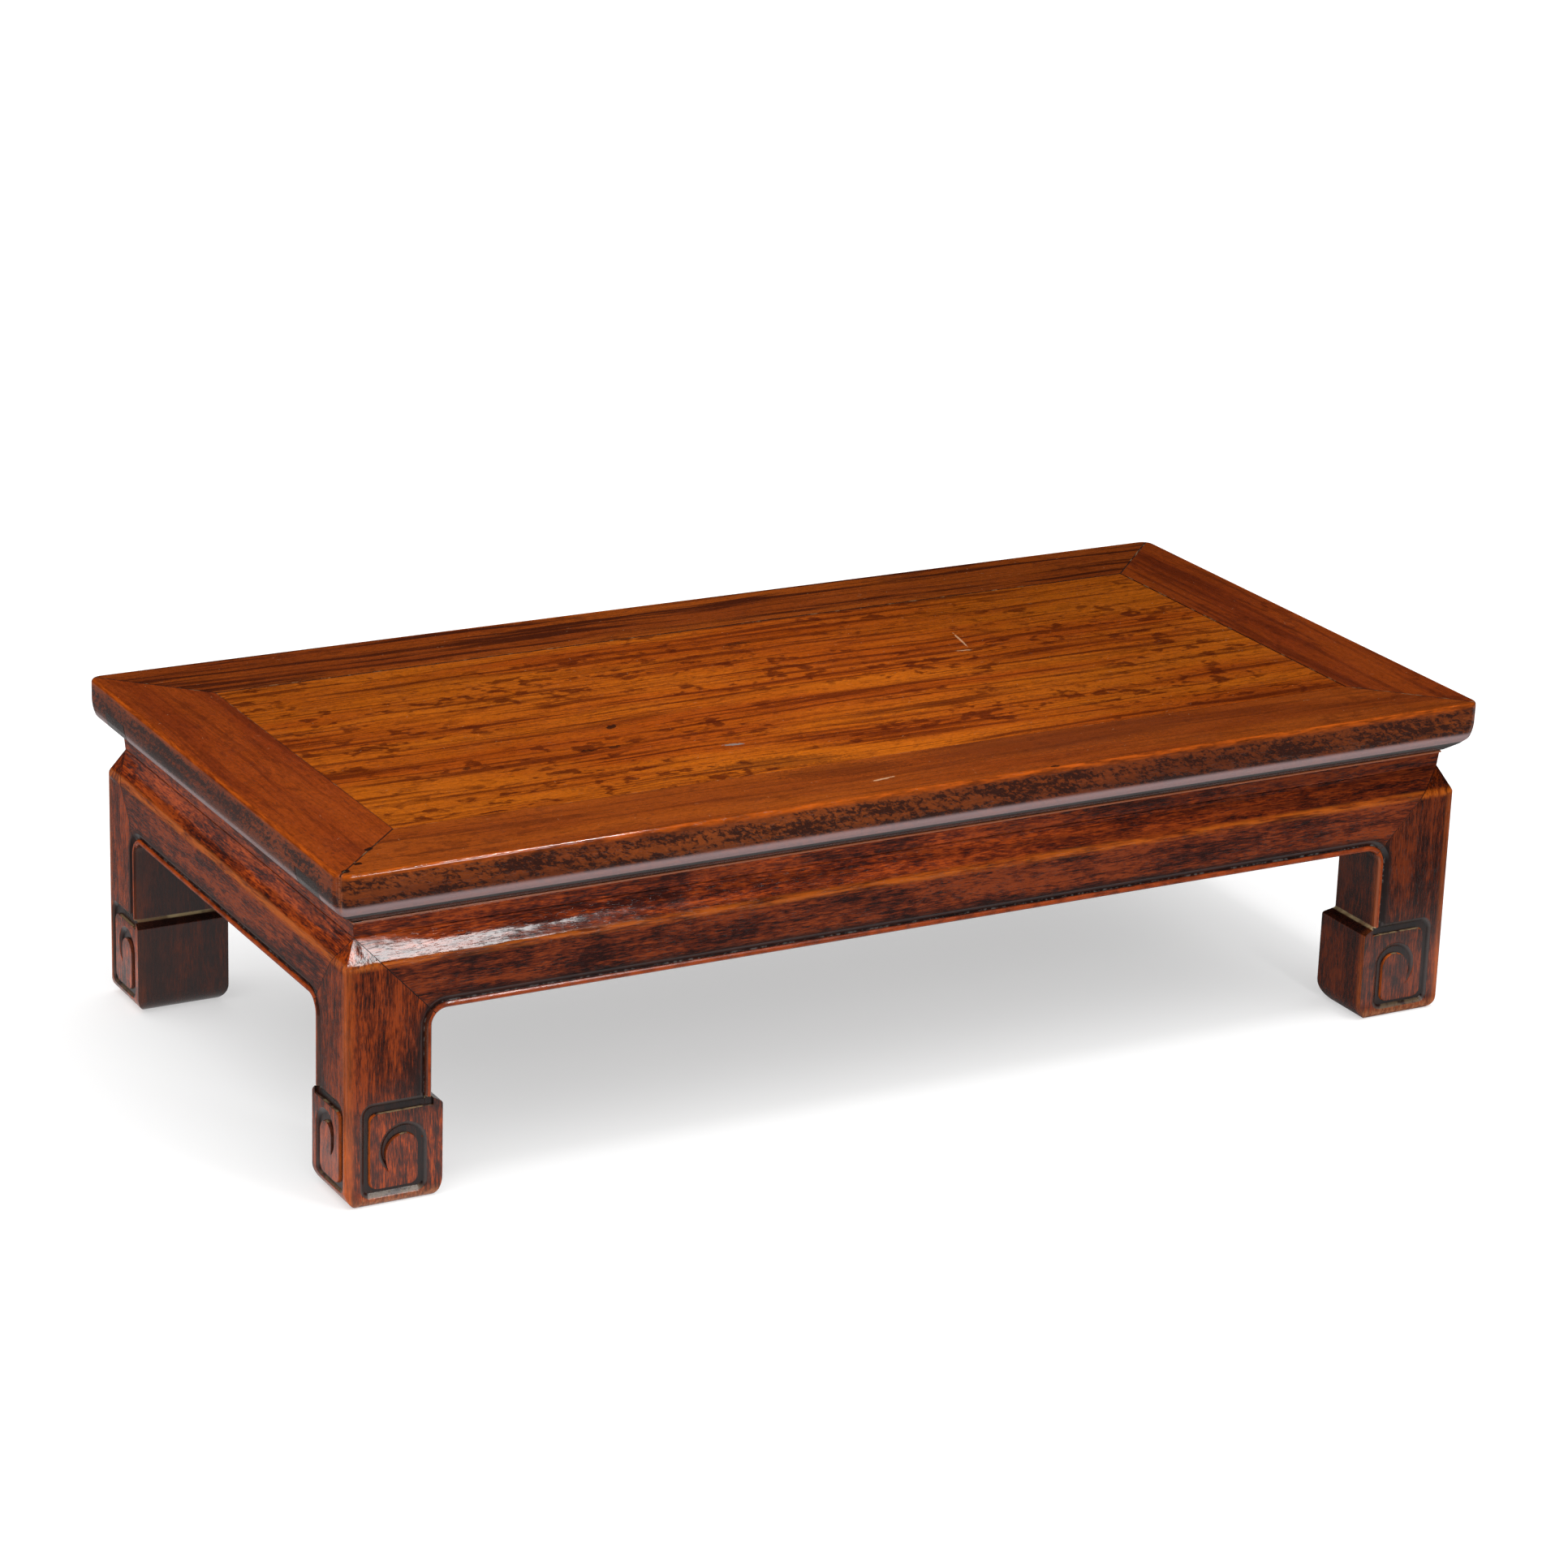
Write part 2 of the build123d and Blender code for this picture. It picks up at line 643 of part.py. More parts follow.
def scroll_sketch(side, sunk):
    """Outline of the carved scroll, x from the leg's outer corner.

    The groove runs in from the beaded edge, down the outer side, along the toe and up the inner
    side, and curls over into a hook.  At the face sunk is 0, on the floor of the groove it is 1.
    """
    outer_run = scroll_outer_slope * sunk
    inner_run = scroll_inner_slope * sunk
    start = side.post - bead_width
    margin_end = side.foot - side.scroll_inner_margin
    left = side.scroll_outer_margin + outer_run
    right = margin_end - outer_run
    top = scroll_top - outer_run
    low = side.scroll_low + outer_run
    top_radius = scroll_corner_radius - outer_run
    toe_radius = scroll_toe_radius - outer_run
    crown = margin_end - arch_near_radius
    near_radius = arch_near_radius - outer_run
    high = side.arch_top - outer_run
    out_radius = side.arch_far_radius - outer_run
    island_left = side.scroll_outer_margin + scroll_width - inner_run
    island_right = margin_end - scroll_width + inner_run
    island_top = scroll_top - scroll_top_width + inner_run
    island_low = side.scroll_low + scroll_toe_width - inner_run
    island_radius = scroll_island_radius
    curl_high = side.arch_top - curl_width + inner_run
    curl_near = island_right - crown
    curl_far = side.arch_far_radius - hook_width + inner_run
    swing = radians(hook_angle * (1 - (1 - hook_floor_share) * sunk))
    hook_top = high - out_radius
    hook_low = hook_top - side.hook_drop
    tip = (crown - out_radius * cos(swing), hook_low - out_radius * sin(swing))
    with BuildSketch() as scroll:
        with BuildLine():
            Line((start, top), (left + top_radius, top))
            RadiusArc((left + top_radius, top), (left, top - top_radius), -top_radius)
            Line((left, top - top_radius), (left, low + toe_radius))
            RadiusArc((left, low + toe_radius), (left + toe_radius, low), -toe_radius)
            Line((left + toe_radius, low), (right - toe_radius, low))
            RadiusArc((right - toe_radius, low), (right, low + toe_radius), -toe_radius)
            Line((right, low + toe_radius), (right, high - near_radius))
            RadiusArc((right, high - near_radius), (crown, high), -near_radius)
            RadiusArc((crown, high), (crown - out_radius, hook_top), -out_radius)
            Line((crown - out_radius, hook_top), (crown - out_radius, hook_low))
            outer_hook = RadiusArc((crown - out_radius, hook_low), tip, -out_radius)
            inner_hook = TangentArc(
                (crown - curl_far, curl_high - curl_far), outer_hook @ 1, tangent=(0, -1)
            )
            RadiusArc(inner_hook @ 0, (crown, curl_high), curl_far)
            RadiusArc((crown, curl_high), (island_right, curl_high - curl_near), curl_near)
            Line((island_right, curl_high - curl_near), (island_right, island_low + island_radius))
            RadiusArc(
                (island_right, island_low + island_radius),
                (island_right - island_radius, island_low),
                island_radius,
            )
            Line((island_right - island_radius, island_low), (island_left + island_radius, island_low))
            RadiusArc(
                (island_left + island_radius, island_low),
                (island_left, island_low + island_radius),
                island_radius,
            )
            Line((island_left, island_low + island_radius), (island_left, island_top - island_radius))
            RadiusArc(
                (island_left, island_top - island_radius),
                (island_left + island_radius, island_top),
                island_radius,
            )
            Line((island_left + island_radius, island_top), (start, island_top))
            Line((start, island_top), (start, top))
        make_face()
    return scroll.sketch


def carved_scroll(side):
    """The whole groove of one scroll, with a long slope outside and a steep side inside."""
    bead_inner = side.inner - bead_width
    with BuildPart() as groove:
        for sunk in (0, 1):
            with BuildSketch(side.at(apron_setback + sunk * scroll_depth)):
                with Locations((apron_setback, 0)):
                    add(scroll_sketch(side, sunk))
        loft(ruled=True)
        # Under the end of the bead the groove runs out over the foot's ledge.
        with BuildSketch(side.at(apron_setback)):
            with BuildLine():
                Polyline(
                    (bead_inner - overcut, scroll_top - scroll_top_width),
                    (side.inner + overcut, scroll_top - scroll_top_width),
                    (side.inner + overcut, foot_height),
                    (bead_inner - overcut, foot_height + overcut),
                    close=True,
                )
            make_face()
        extrude(amount=scroll_runout_depth, dir=side.inward)
    return groove.part


def apron_space(side, other_side, kept):
    """Room that an apron fills above the leg's sloping shoulder."""
    with BuildPart() as space:
        with BuildSketch(other_side.at(0)):
            with Locations((apron_back / 2, (apron_bottom + rail_bottom) / 2)):
                Rectangle(apron_back, rail_bottom - apron_bottom + 2 * opening_radius)
        extrude(amount=side.half, dir=side.along)
        split(bisect_by=long_side_of_mitre, keep=kept)
        split(bisect_by=mitre_plane(side), keep=Keep.TOP)
    return space.part


with BuildPart() as leg_front_left:
    # The two elevations cross, so the foot stands out on both inner faces of the leg.
    with BuildSketch(long_side.at(apron_setback)):
        add(leg_outline(long_side))
    extrude(amount=foot_depth, dir=long_side.inward)
    with BuildSketch(short_side.at(apron_setback)):
        add(leg_outline(short_side))
    extrude(amount=foot_width, dir=short_side.inward, mode=Mode.INTERSECT)
    with BuildSketch(Plane(origin=corner)) as plan:
        with Locations((apron_setback + foot_width / 2, apron_setback + foot_depth / 2)):
            Rectangle(foot_width, foot_depth)
        fillet(plan.vertices().sort_by_distance((0, 0))[0], leg_corner_radius)
    extrude(amount=rail_bottom, mode=Mode.INTERSECT)

    # Shoulders for the two aprons.
    add(apron_space(long_side, short_side, Keep.TOP), mode=Mode.SUBTRACT)
    add(apron_space(short_side, long_side, Keep.BOTTOM), mode=Mode.SUBTRACT)
    for side in (long_side, short_side):
        # Wedge mortise, hanging key and the rounded corner under the apron.
        with BuildSketch(side.at(apron_setback + wedge_tenon_setback - joint_gap)):
            add(wedge_tenon_sketch(side, joint_gap))
        extrude(amount=wedge_tenon_thickness + 2 * joint_gap, dir=side.inward, mode=Mode.SUBTRACT)
        add(hanging_key(side, apron_bottom, 0))
        with BuildSketch(side.at(apron_setback)):
            add(spandrel_sketch(side))
        extrude(amount=apron_thickness, dir=side.inward)

    # Tenons for the top.
    add(leg_tenon(long_tenon_middle, long_tenon_width, long_tenon_thickness, long_tenon_length, 0))
    add(leg_tenon(short_tenon_middle, short_tenon_size, short_tenon_size, short_tenon_length, 0))

    # Beaded edges and scrolls.
    for side in (long_side, short_side):
        add(bead_cutter(side), mode=Mode.SUBTRACT)
        add(carved_scroll(side), mode=Mode.SUBTRACT)

with BuildPart() as leg_front_right:
    mirror(leg_front_left.part, about=Plane.YZ)

with BuildPart() as leg_back_left:
    mirror(leg_front_left.part, about=Plane.XZ)

with BuildPart() as leg_back_right:
    mirror(leg_front_right.part, about=Plane.XZ)

# ================================================================ finished pieces
pieces = {
    "top_rail_front": top_rail_front,
    "top_rail_back": top_rail_back,
    "top_rail_left": top_rail_left,
    "top_rail_right": top_rail_right,
    "top_panel": top_panel,
    "batten_left": batten_left,
    "batten_right": batten_right,
    "apron_front": apron_front,
    "apron_back": apron_rear,
    "apron_left": apron_left,
    "apron_right": apron_right,
    "leg_front_left": leg_front_left,
    "leg_front_right": leg_front_right,
    "leg_back_left": leg_back_left,
    "leg_back_right": leg_back_right,
}
os.makedirs("parts", exist_ok=True)
for name, piece in pieces.items():
    piece.part.label = name
    export_step(piece.part, f"parts/{name}.step")
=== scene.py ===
from math import copysign, cos, hypot, pi, radians, sin, sqrt, tan

import bmesh
import bpy
from mathutils import Matrix, Vector


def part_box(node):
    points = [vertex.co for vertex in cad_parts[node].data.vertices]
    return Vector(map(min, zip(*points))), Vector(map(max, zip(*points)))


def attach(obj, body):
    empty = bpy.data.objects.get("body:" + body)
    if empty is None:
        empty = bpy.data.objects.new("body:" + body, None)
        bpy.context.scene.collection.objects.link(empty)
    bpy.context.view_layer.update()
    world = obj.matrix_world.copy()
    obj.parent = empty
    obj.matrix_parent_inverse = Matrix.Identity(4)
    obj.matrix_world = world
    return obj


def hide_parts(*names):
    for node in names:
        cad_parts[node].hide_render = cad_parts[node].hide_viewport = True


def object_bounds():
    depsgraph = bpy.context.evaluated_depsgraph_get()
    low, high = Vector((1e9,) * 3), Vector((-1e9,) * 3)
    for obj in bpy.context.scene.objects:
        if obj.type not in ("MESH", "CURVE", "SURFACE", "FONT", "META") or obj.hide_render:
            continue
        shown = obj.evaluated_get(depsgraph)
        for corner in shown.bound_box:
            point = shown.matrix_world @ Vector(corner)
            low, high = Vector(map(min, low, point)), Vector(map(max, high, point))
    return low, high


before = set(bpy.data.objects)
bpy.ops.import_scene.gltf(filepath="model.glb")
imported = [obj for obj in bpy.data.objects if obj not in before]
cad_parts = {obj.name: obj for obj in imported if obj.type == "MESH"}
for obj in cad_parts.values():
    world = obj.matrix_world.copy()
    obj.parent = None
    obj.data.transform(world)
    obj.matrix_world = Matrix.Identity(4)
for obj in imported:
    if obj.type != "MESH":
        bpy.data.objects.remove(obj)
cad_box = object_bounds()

# The looks of a kang table of polished reddish-brown hardwood.  Every CAD piece is copied, given
# worn edges, and coloured by a wood of its own.  Materials are written in millimetres of the
# table's frame, meshes and the stage in metres.

MM = 0.001
HIGH = Vector(cad_box[1])
HALF_LENGTH = HIGH.x / MM
HALF_DEPTH = HIGH.y / MM
TOP = HIGH.z / MM

# Frame of the top, whose sizes the wear and the dirt follow.
RAIL_WIDTH = 62.0
RAIL_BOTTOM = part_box("top_rail_front")[0].z / MM
EDGE_DEPTH = 18.0  # the moulding lies within this distance of the top's edge
COVE_TOP, COVE_BOTTOM = TOP - 22.0, TOP - 27.0  # levels of the painted reflection in the cove
UNDERCUT_SHADE_TOP = TOP - 27.6  # painted shade of the undercut, black from here down to the raised line
LINE_TOP = RAIL_BOTTOM + 1.6  # raised line at the foot of the moulding
TENON_START = 30.0  # from the long edge of the top
TENON_DROP = 14.0  # from the top surface
TENON_THICKNESS = 15.5

# Waist, aprons and opening.
WAIST_HEIGHT = 9.0
WAIST_VALLEY_INSET = 18.0  # where the waist meets the shoulder
WAIST_VALLEY_HEIGHT = RAIL_BOTTOM - WAIST_HEIGHT
RIDGE_HEIGHT = 152.0  # where the sloping shoulder turns into the apron's face
OPENING_RADIUS = 10.0
MITRE_OVERRUN = OPENING_RADIUS * (1 - sqrt(0.5))  # the mitre ends in the middle of that arc
APRON_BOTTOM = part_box("apron_front")[0].z / MM + MITRE_OVERRUN
BEAD_WIDTH = 3.8
GROOVE_WIDTH = 3.7
GROOVE_END = BEAD_WIDTH + GROOVE_WIDTH  # from the edge of the opening

# Legs and feet.
FACE_INSET = HALF_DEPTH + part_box("leg_front_left")[0].y / MM
LEG_WIDTH, LEG_DEPTH = 55.0, 44.5  # on the long and on the short side of the table
LEG_INNER_LONG = FACE_INSET + LEG_WIDTH
LEG_INNER_SHORT = FACE_INSET + LEG_DEPTH
FOOT_HEIGHT = 63.5  # where the foot meets the inner faces of the leg
LONG_TOE_RISE, LONG_TOE_REACH = 5.0, 3.0
SHORT_TOE_RISE, SHORT_TOE_REACH = 12.0, 7.5

# Wear of the meshes, in millimetres and degrees.
CORNER_RADIUS = 8.5  # corners of the top, in plan
CORNER_TURNS = (0, 7, 14, 21, 28, 35, 41)  # places on that arc where the rails are cut
EDGE_WEAR = {  # width of the worn edges of each kind of piece
    "panel_wood": 0.25,
    "rail_wood": 0.35,
    "batten_wood": 0.3,
    "apron_wood": 0.35,
    "leg_wood": 0.45,
}
WELD_DISTANCE = 0.002  # vertices nearer than this become one
CUT_TOLERANCE = 0.001  # vertices nearer than this to a new cut lie on it
ON_CUT = 0.01  # vertices nearer than this to the first cut give the moulding's profile
FLAT_TURN = 0.6  # facets that turn by less become one
SHARP_TURN = 24  # edges that turn by more are worn


# ------------------------------------------------------------------------------- colours
def linear(red, green, blue):
    """Linear colour of an sRGB one given in 0 to 255."""
    def channel(value):
        value /= 255
        return value / 12.92 if value <= 0.04045 else ((value + 0.055) / 1.055) ** 2.4
    return (channel(red), channel(green), channel(blue), 1.0)


# Light, middle and dark tone of each wood.
GOLD = linear(166, 83, 12), linear(144, 62, 9), linear(74, 24, 7)
RAIL = linear(134, 62, 15), linear(114, 48, 13), linear(64, 25, 11)
RED_RAIL = linear(134, 57, 15), linear(116, 45, 14), linear(74, 27, 13)
APRON = linear(134, 55, 18), linear(96, 35, 14), linear(44, 18, 15)
LEG = linear(148, 59, 14), linear(104, 38, 11), linear(50, 20, 13)
BATTEN = linear(92, 58, 38), linear(74, 44, 30), linear(48, 28, 20)
END_GRAIN = linear(58, 40, 34), linear(34, 24, 22)

# Wood that wear has laid bare.
HONEY = linear(186, 84, 18)
GOLDEN = linear(192, 96, 22)
ORANGE = linear(158, 64, 14)
CORNER_WOOD = linear(166, 78, 22)
EDGE_WOOD = linear(172, 78, 14)
TOE_WOOD = linear(176, 112, 74)
RED_ARRIS = linear(168, 96, 62)
PALE = linear(216, 178, 140)

# Stains, dirt and dust, and colours of painted shade, reflection and glint.
BLACK_BROWN = linear(18, 12, 11)
UMBER = linear(42, 17, 12)
RUSSET = linear(86, 38, 16)
SOOT_AND_SHADE = linear(62, 54, 52)
PAINTED_INSIDE_SHADE = linear(48, 27, 23)
PAINTED_COVE_REFLECTION = linear(172, 142, 142)
DUST = linear(140, 116, 84)
LEDGE_DUST = linear(186, 164, 122)
GREY_DUST_AND_GLINT = linear(120, 116, 112)
BATTEN_DUST = linear(120, 104, 86)


# ------------------------------------------------------------------------------- node helpers
class Graph:
    """Node tree written as expressions, where a value is a socket or a number."""

    # Sockets of the mix node that hold colours.
    MIX_A, MIX_B, MIX_RESULT = 6, 7, 2

    def __init__(self, tree):
        self.tree = tree
        tree.nodes.clear()

    def node(self, kind, **settings):
        made = self.tree.nodes.new(kind)
        for key, value in settings.items():
            setattr(made, key, value)
        return made

    def put(self, socket, value):
        if isinstance(value, bpy.types.NodeSocket):
            self.tree.links.new(value, socket)
        else:
            socket.default_value = value

    def math(self, operation, a, b=0.0):
        made = self.node("ShaderNodeMath", operation=operation)
        self.put(made.inputs[0], a)
        self.put(made.inputs[1], b)
        return made.outputs[0]

    def add(self, a, b):
        return self.math("ADD", a, b)

    def sub(self, a, b):
        return self.math("SUBTRACT", a, b)

    def mul(self, a, b, *more):
        product = self.math("MULTIPLY", a, b)
        for value in more:
            product = self.math("MULTIPLY", product, value)
        return product

    def positive(self, value):
        return self.math("MAXIMUM", value, 0.0)

    def apart(self, a, b):
        """Distance between two values."""
        return self.math("ABSOLUTE", self.sub(a, b))

    def hypotenuse(self, a, b):
        return self.math("SQRT", self.add(self.mul(a, a), self.mul(b, b)))

    def ramp(self, value, start, end, low=0.0, high=1.0):
        """Smooth step of value from low at start to high at end."""
        made = self.node("ShaderNodeMapRange", interpolation_type="SMOOTHSTEP")
        rising = start < end
        self.put(made.inputs["Value"], value)
        self.put(made.inputs["From Min"], start if rising else end)
        self.put(made.inputs["From Max"], end if rising else start)
        self.put(made.inputs["To Min"], low if rising else high)
        self.put(made.inputs["To Max"], high if rising else low)
        return made.outputs["Result"]

    def band(self, value, middle, half_width, soft):
        """One inside the band round middle, falling to nothing over soft."""
        return self.ramp(self.apart(value, middle), half_width + soft, half_width)

    def choose(self, factor, a, b):
        """Number a where factor is 0, b where it is 1."""
        made = self.node("ShaderNodeMix", data_type="FLOAT")
        self.put(made.inputs["Factor"], factor)
        self.put(made.inputs["A"], a)
        self.put(made.inputs["B"], b)
        return made.outputs["Result"]

    def blend(self, factor, a, b, mode="MIX"):
        """Colour a where factor is 0, b where it is 1."""
        made = self.node("ShaderNodeMix", data_type="RGBA", blend_type=mode, clamp_factor=True)
        self.put(made.inputs["Factor"], factor)
        self.put(made.inputs[self.MIX_A], a)
        self.put(made.inputs[self.MIX_B], b)
        return made.outputs[self.MIX_RESULT]

    def vector(self, x, y, z):
        made = self.node("ShaderNodeCombineXYZ")
        for socket, value in zip(made.inputs, (x, y, z)):
            self.put(socket, value)
        return made.outputs[0]

    def split(self, vector):
        made = self.node("ShaderNodeSeparateXYZ")
        self.put(made.inputs[0], vector)
        return made.outputs

    def noise(self, place, detail=2.0, roughness=0.5, distortion=0.0):
        """Cloudy pattern between 0 and 1, mostly near a half."""
        made = self.node("ShaderNodeTexNoise")
        self.put(made.inputs["Vector"], place)
        self.put(made.inputs["Scale"], 1.0)
        self.put(made.inputs["Detail"], detail)
        self.put(made.inputs["Roughness"], roughness)
        self.put(made.inputs["Distortion"], distortion)
        return made.outputs["Fac"]

    def cells(self, place):
        """Distance to the nearest of scattered points."""
        made = self.node("ShaderNodeTexVoronoi")
        self.put(made.inputs["Vector"], place)
        self.put(made.inputs["Scale"], 1.0)
        return made.outputs["Distance"]


def cover(g, colour, mask, strength, over):
    """Colour with another laid over it where mask is high."""
    return g.blend(g.mul(mask, strength), colour, over)


def shaded(g, colour, shade):
    """Colour times a number."""
    return g.blend(1.0, colour, g.vector(shade, shade, shade), "MULTIPLY")


def new_material(name):
    material = bpy.data.materials.new(name)
    material.use_nodes = True
    return material, Graph(material.node_tree)


# ------------------------------------------------------------------------------- place
class Place:
    """Where a shaded point lies on the table, in millimetres, and which way it faces.

    The functions below call it p and its graph g.  The last number that fibre, blotch and flat
    take, the shift, only moves a pattern, so that no two patterns of a wood agree.
    """

    SEED_STEP = 7.31  # one wood's patterns lie this far from those of the next
    GRAIN_WANDER = 16  # how far the grain strays to its side, in all

    def __init__(self, graph, grain_axis, seed, slant=0.0):
        self.graph = g = graph
        coordinates = g.node("ShaderNodeTexCoord").outputs["Object"]
        self.x, self.y, self.z = [g.mul(value, 1 / MM) for value in g.split(coordinates)]
        self.find_face()
        self.seed = seed * self.SEED_STEP
        self.grain, self.side, self.deep = {
            "X": (self.x, self.y, self.z),
            "Y": (self.y, self.x, self.z),
            "Z": (self.z, self.x, self.y),
        }[grain_axis]
        self.side = g.add(self.side, g.mul(self.grain, slant))
        wave = g.noise(self.fibre(170, 55, 3.0), 2)
        self.side = g.add(self.side, g.mul(g.sub(wave, 0.5), self.GRAIN_WANDER))

    def find_face(self):
        """Distances from the edges of the top, and those along the face and into the table."""
        g = self.graph
        across, back, self.up = g.split(g.node("ShaderNodeNewGeometry").outputs["Normal"])
        self.from_short_edge = g.sub(HALF_LENGTH, g.math("ABSOLUTE", self.x))
        self.from_long_edge = g.sub(HALF_DEPTH, g.math("ABSOLUTE", self.y))
        self.edge_inset = g.math("MINIMUM", self.from_short_edge, self.from_long_edge)
        self.long_face = g.math(
            "GREATER_THAN", g.math("ABSOLUTE", back), g.math("ABSOLUTE", across)
        )
        self.along = g.choose(self.long_face, self.from_long_edge, self.from_short_edge)
        self.inset = g.choose(self.long_face, self.from_short_edge, self.from_long_edge)

    def by_side(self, long_side, short_side):
        """One number on faces of the long sides, the other on those of the short sides."""
        return self.graph.choose(self.long_face, short_side, long_side)

    def fibre(self, length, width, shift=0.0):
        """Coordinates stretched along the grain, for a pattern of this length and width."""
        g = self.graph
        offset = self.seed + shift
        return g.vector(
            g.add(g.mul(self.grain, 1 / length), offset),
            g.add(g.mul(self.side, 1 / width), offset * 1.7),
            g.add(g.mul(self.deep, 1 / width), offset * 2.3),
        )

    def blotch(self, size, shift=0.0):
        """Coordinates for a pattern as long as it is wide."""
        return self.fibre(size, size, shift)

    def turned(self, turn, x=0.0, y=0.0):
        """Way along and across a line on the top that starts at x, y and is turned in degrees."""
        g = self.graph
        cosine, sine = cos(radians(turn)), sin(radians(turn))
        right, back = g.sub(self.x, x), g.sub(self.y, y)
        along = g.add(g.mul(right, cosine), g.mul(back, sine))
        across = g.sub(g.mul(back, cosine), g.mul(right, sine))
        return along, across

    def flat(self, size, turn, stretch, shift):
        """Coordinates on the level top, turned by so many degrees and stretched."""
        g = self.graph
        along, across = self.turned(turn)
        return g.vector(g.mul(along, 1 / (size * stretch)), g.mul(across, 1 / size), shift)

    def spot(self, x, y, half_length, half_width, turn):
        """One inside a small ragged ellipse on the top."""
        g = self.graph
        along, across = self.turned(turn, x, y)
        reach = g.hypotenuse(g.mul(along, 1 / half_length), g.mul(across, 1 / half_width))
        ragged = g.mul(g.sub(g.noise(self.flat(2.6, 0, 1, 5.0), 2), 0.5), 1.6)
        return g.mul(g.ramp(g.add(reach, ragged), 1.15, 0.85), g.ramp(self.up, 0.3, 0.5))

    def outer_face(self):
        """One on the outer faces of aprons and legs, nothing on the inner ones."""
        return self.graph.ramp(self.inset, 26, 22)


def opening_distance(p):
    """Distance on the face from the edge of the opening between two legs."""
    g = p.graph
    inner = p.by_side(LEG_INNER_LONG, LEG_INNER_SHORT)
    beside = g.positive(g.sub(g.add(inner, OPENING_RADIUS), p.along))
    above = g.positive(g.sub(p.z, APRON_BOTTOM - OPENING_RADIUS))
    return g.sub(g.hypotenuse(beside, above), OPENING_RADIUS)


def arc_radius(rise, reach):
    """Radius of an arc that starts upright and leans over by reach within its rise."""
    return (rise ** 2 + reach ** 2) / (2 * reach)


def toe_surface(p):
    """Inset of the foot's outer faces, which turn under towards the floor in an arc."""
    g = p.graph
    rise = p.by_side(LONG_TOE_RISE, SHORT_TOE_RISE)
    radius = p.by_side(
        arc_radius(LONG_TOE_RISE, LONG_TOE_REACH), arc_radius(SHORT_TOE_RISE, SHORT_TOE_REACH)
    )
    drop = g.positive(g.sub(rise, p.z))
    upright = g.math("SQRT", g.sub(g.mul(radius, radius), g.mul(drop, drop)))
    return g.add(FACE_INSET, g.sub(radius, upright))


# ------------------------------------------------------------------------------- bare wood
def figured_colour(p, tones, streaks, dashes):
    """Long wavy streaks, mottled dashes and small flecks, between three tones of the wood."""
    g = p.graph
    light, middle, dark = tones
    broad = g.noise(p.fibre(260, 32, 11.0), 3, 0.55)
    tone = g.blend(g.ramp(broad, 0.34, 0.66), light, middle)
    long = g.noise(p.fibre(210, 6.2, 23.0), 3, 0.62)
    streak = g.ramp(g.add(long, g.mul(g.sub(broad, 0.5), 0.3)), 0.5, 0.63)
    tone = cover(g, tone, streak, streaks, dark)
    thin = g.ramp(g.noise(p.fibre(120, 2.3, 27.0), 3, 0.6), 0.53, 0.63)
    tone = cover(g, tone, thin, streaks * 0.6, dark)
    gathered = g.ramp(g.noise(p.fibre(110, 46, 31.0), 2), 0.38, 0.56)
    dash = g.ramp(g.noise(p.fibre(13, 7.5, 41.0), 2, 0.5), 0.54, 0.64)
    tone = cover(g, tone, g.mul(dash, gathered), dashes, dark)
    small = g.ramp(g.noise(p.fibre(8.5, 3.4, 43.0), 2, 0.6, 0.2), 0.57, 0.66)
    tone = cover(g, tone, small, dashes * 0.45, dark)
    speckle = g.noise(p.fibre(3.4, 1.9, 51.0), 3, 0.75)
    hair = g.noise(p.fibre(22, 1.3, 53.0), 3, 0.7)
    return shaded(g, tone, g.add(0.06, g.add(g.mul(speckle, 1.1), g.mul(hair, 0.8))))


def interlocked_colour(p, tones):
    """Amber wood with short dark flecks that gather in patches, and a little darker low down."""
    g = p.graph
    light, middle, dark = tones
    flecks = g.noise(p.fibre(8.0, 0.85, 11.0), 3, 0.68)
    ribbons = g.noise(p.fibre(70, 3.6, 17.0), 3, 0.6)
    patches = g.noise(p.fibre(72, 21, 31.0), 4, 0.62)
    shift = g.add(g.mul(g.sub(ribbons, 0.5), 0.55), g.mul(g.sub(patches, 0.5), 0.75))
    mottle = g.mul(g.sub(g.noise(p.blotch(10, 37.0), 3, 0.6), 0.5), 0.34)
    low = g.ramp(p.z, 140, 60, 0.0, 0.03)
    mix = g.add(g.add(g.add(flecks, shift), mottle), low)
    tone = g.blend(g.ramp(mix, 0.36, 0.5), light, middle)
    tone = g.blend(g.ramp(mix, 0.48, 0.68), tone, dark)
    hair = g.noise(p.fibre(11, 0.6, 51.0), 3, 0.7)
    return shaded(g, tone, g.add(0.62, g.mul(hair, 0.76)))


def pores(p):
    """Short dark vessels along the grain."""
    g = p.graph
    fine = g.noise(p.fibre(5.2, 0.6, 61.0), 1, 0.5)
    gathered = g.ramp(g.noise(p.fibre(60, 8, 67.0), 2), 0.35, 0.65)
    return g.mul(g.ramp(fine, 0.6, 0.68), g.add(0.35, g.mul(gathered, 0.65)))


def relief(p, pore):
    """Height of the bare wood in millimetres: pores, fibres and the plane's slow waves."""
    g = p.graph
    fibres = g.mul(g.noise(p.fibre(14, 0.7, 71.0), 2), 0.012)
    waves = g.mul(g.noise(p.blotch(30, 73.0), 2), 0.22)
    return g.sub(g.add(fibres, waves), g.mul(pore, 0.035))


def gloss(p, pore, dull, shine=0.0):
    """Roughness of polished wood, duller where dull is high and smoother where shine is."""
    g = p.graph
    cloud = g.noise(p.blotch(24, 81.0), 3, 0.6)
    base = g.mul(g.add(0.13, g.mul(cloud, 0.2)), g.sub(1.0, g.mul(shine, 0.75)))
    return g.math("MINIMUM", g.add(g.add(base, g.mul(pore, 0.12)), g.mul(dull, 0.35)), 0.9)


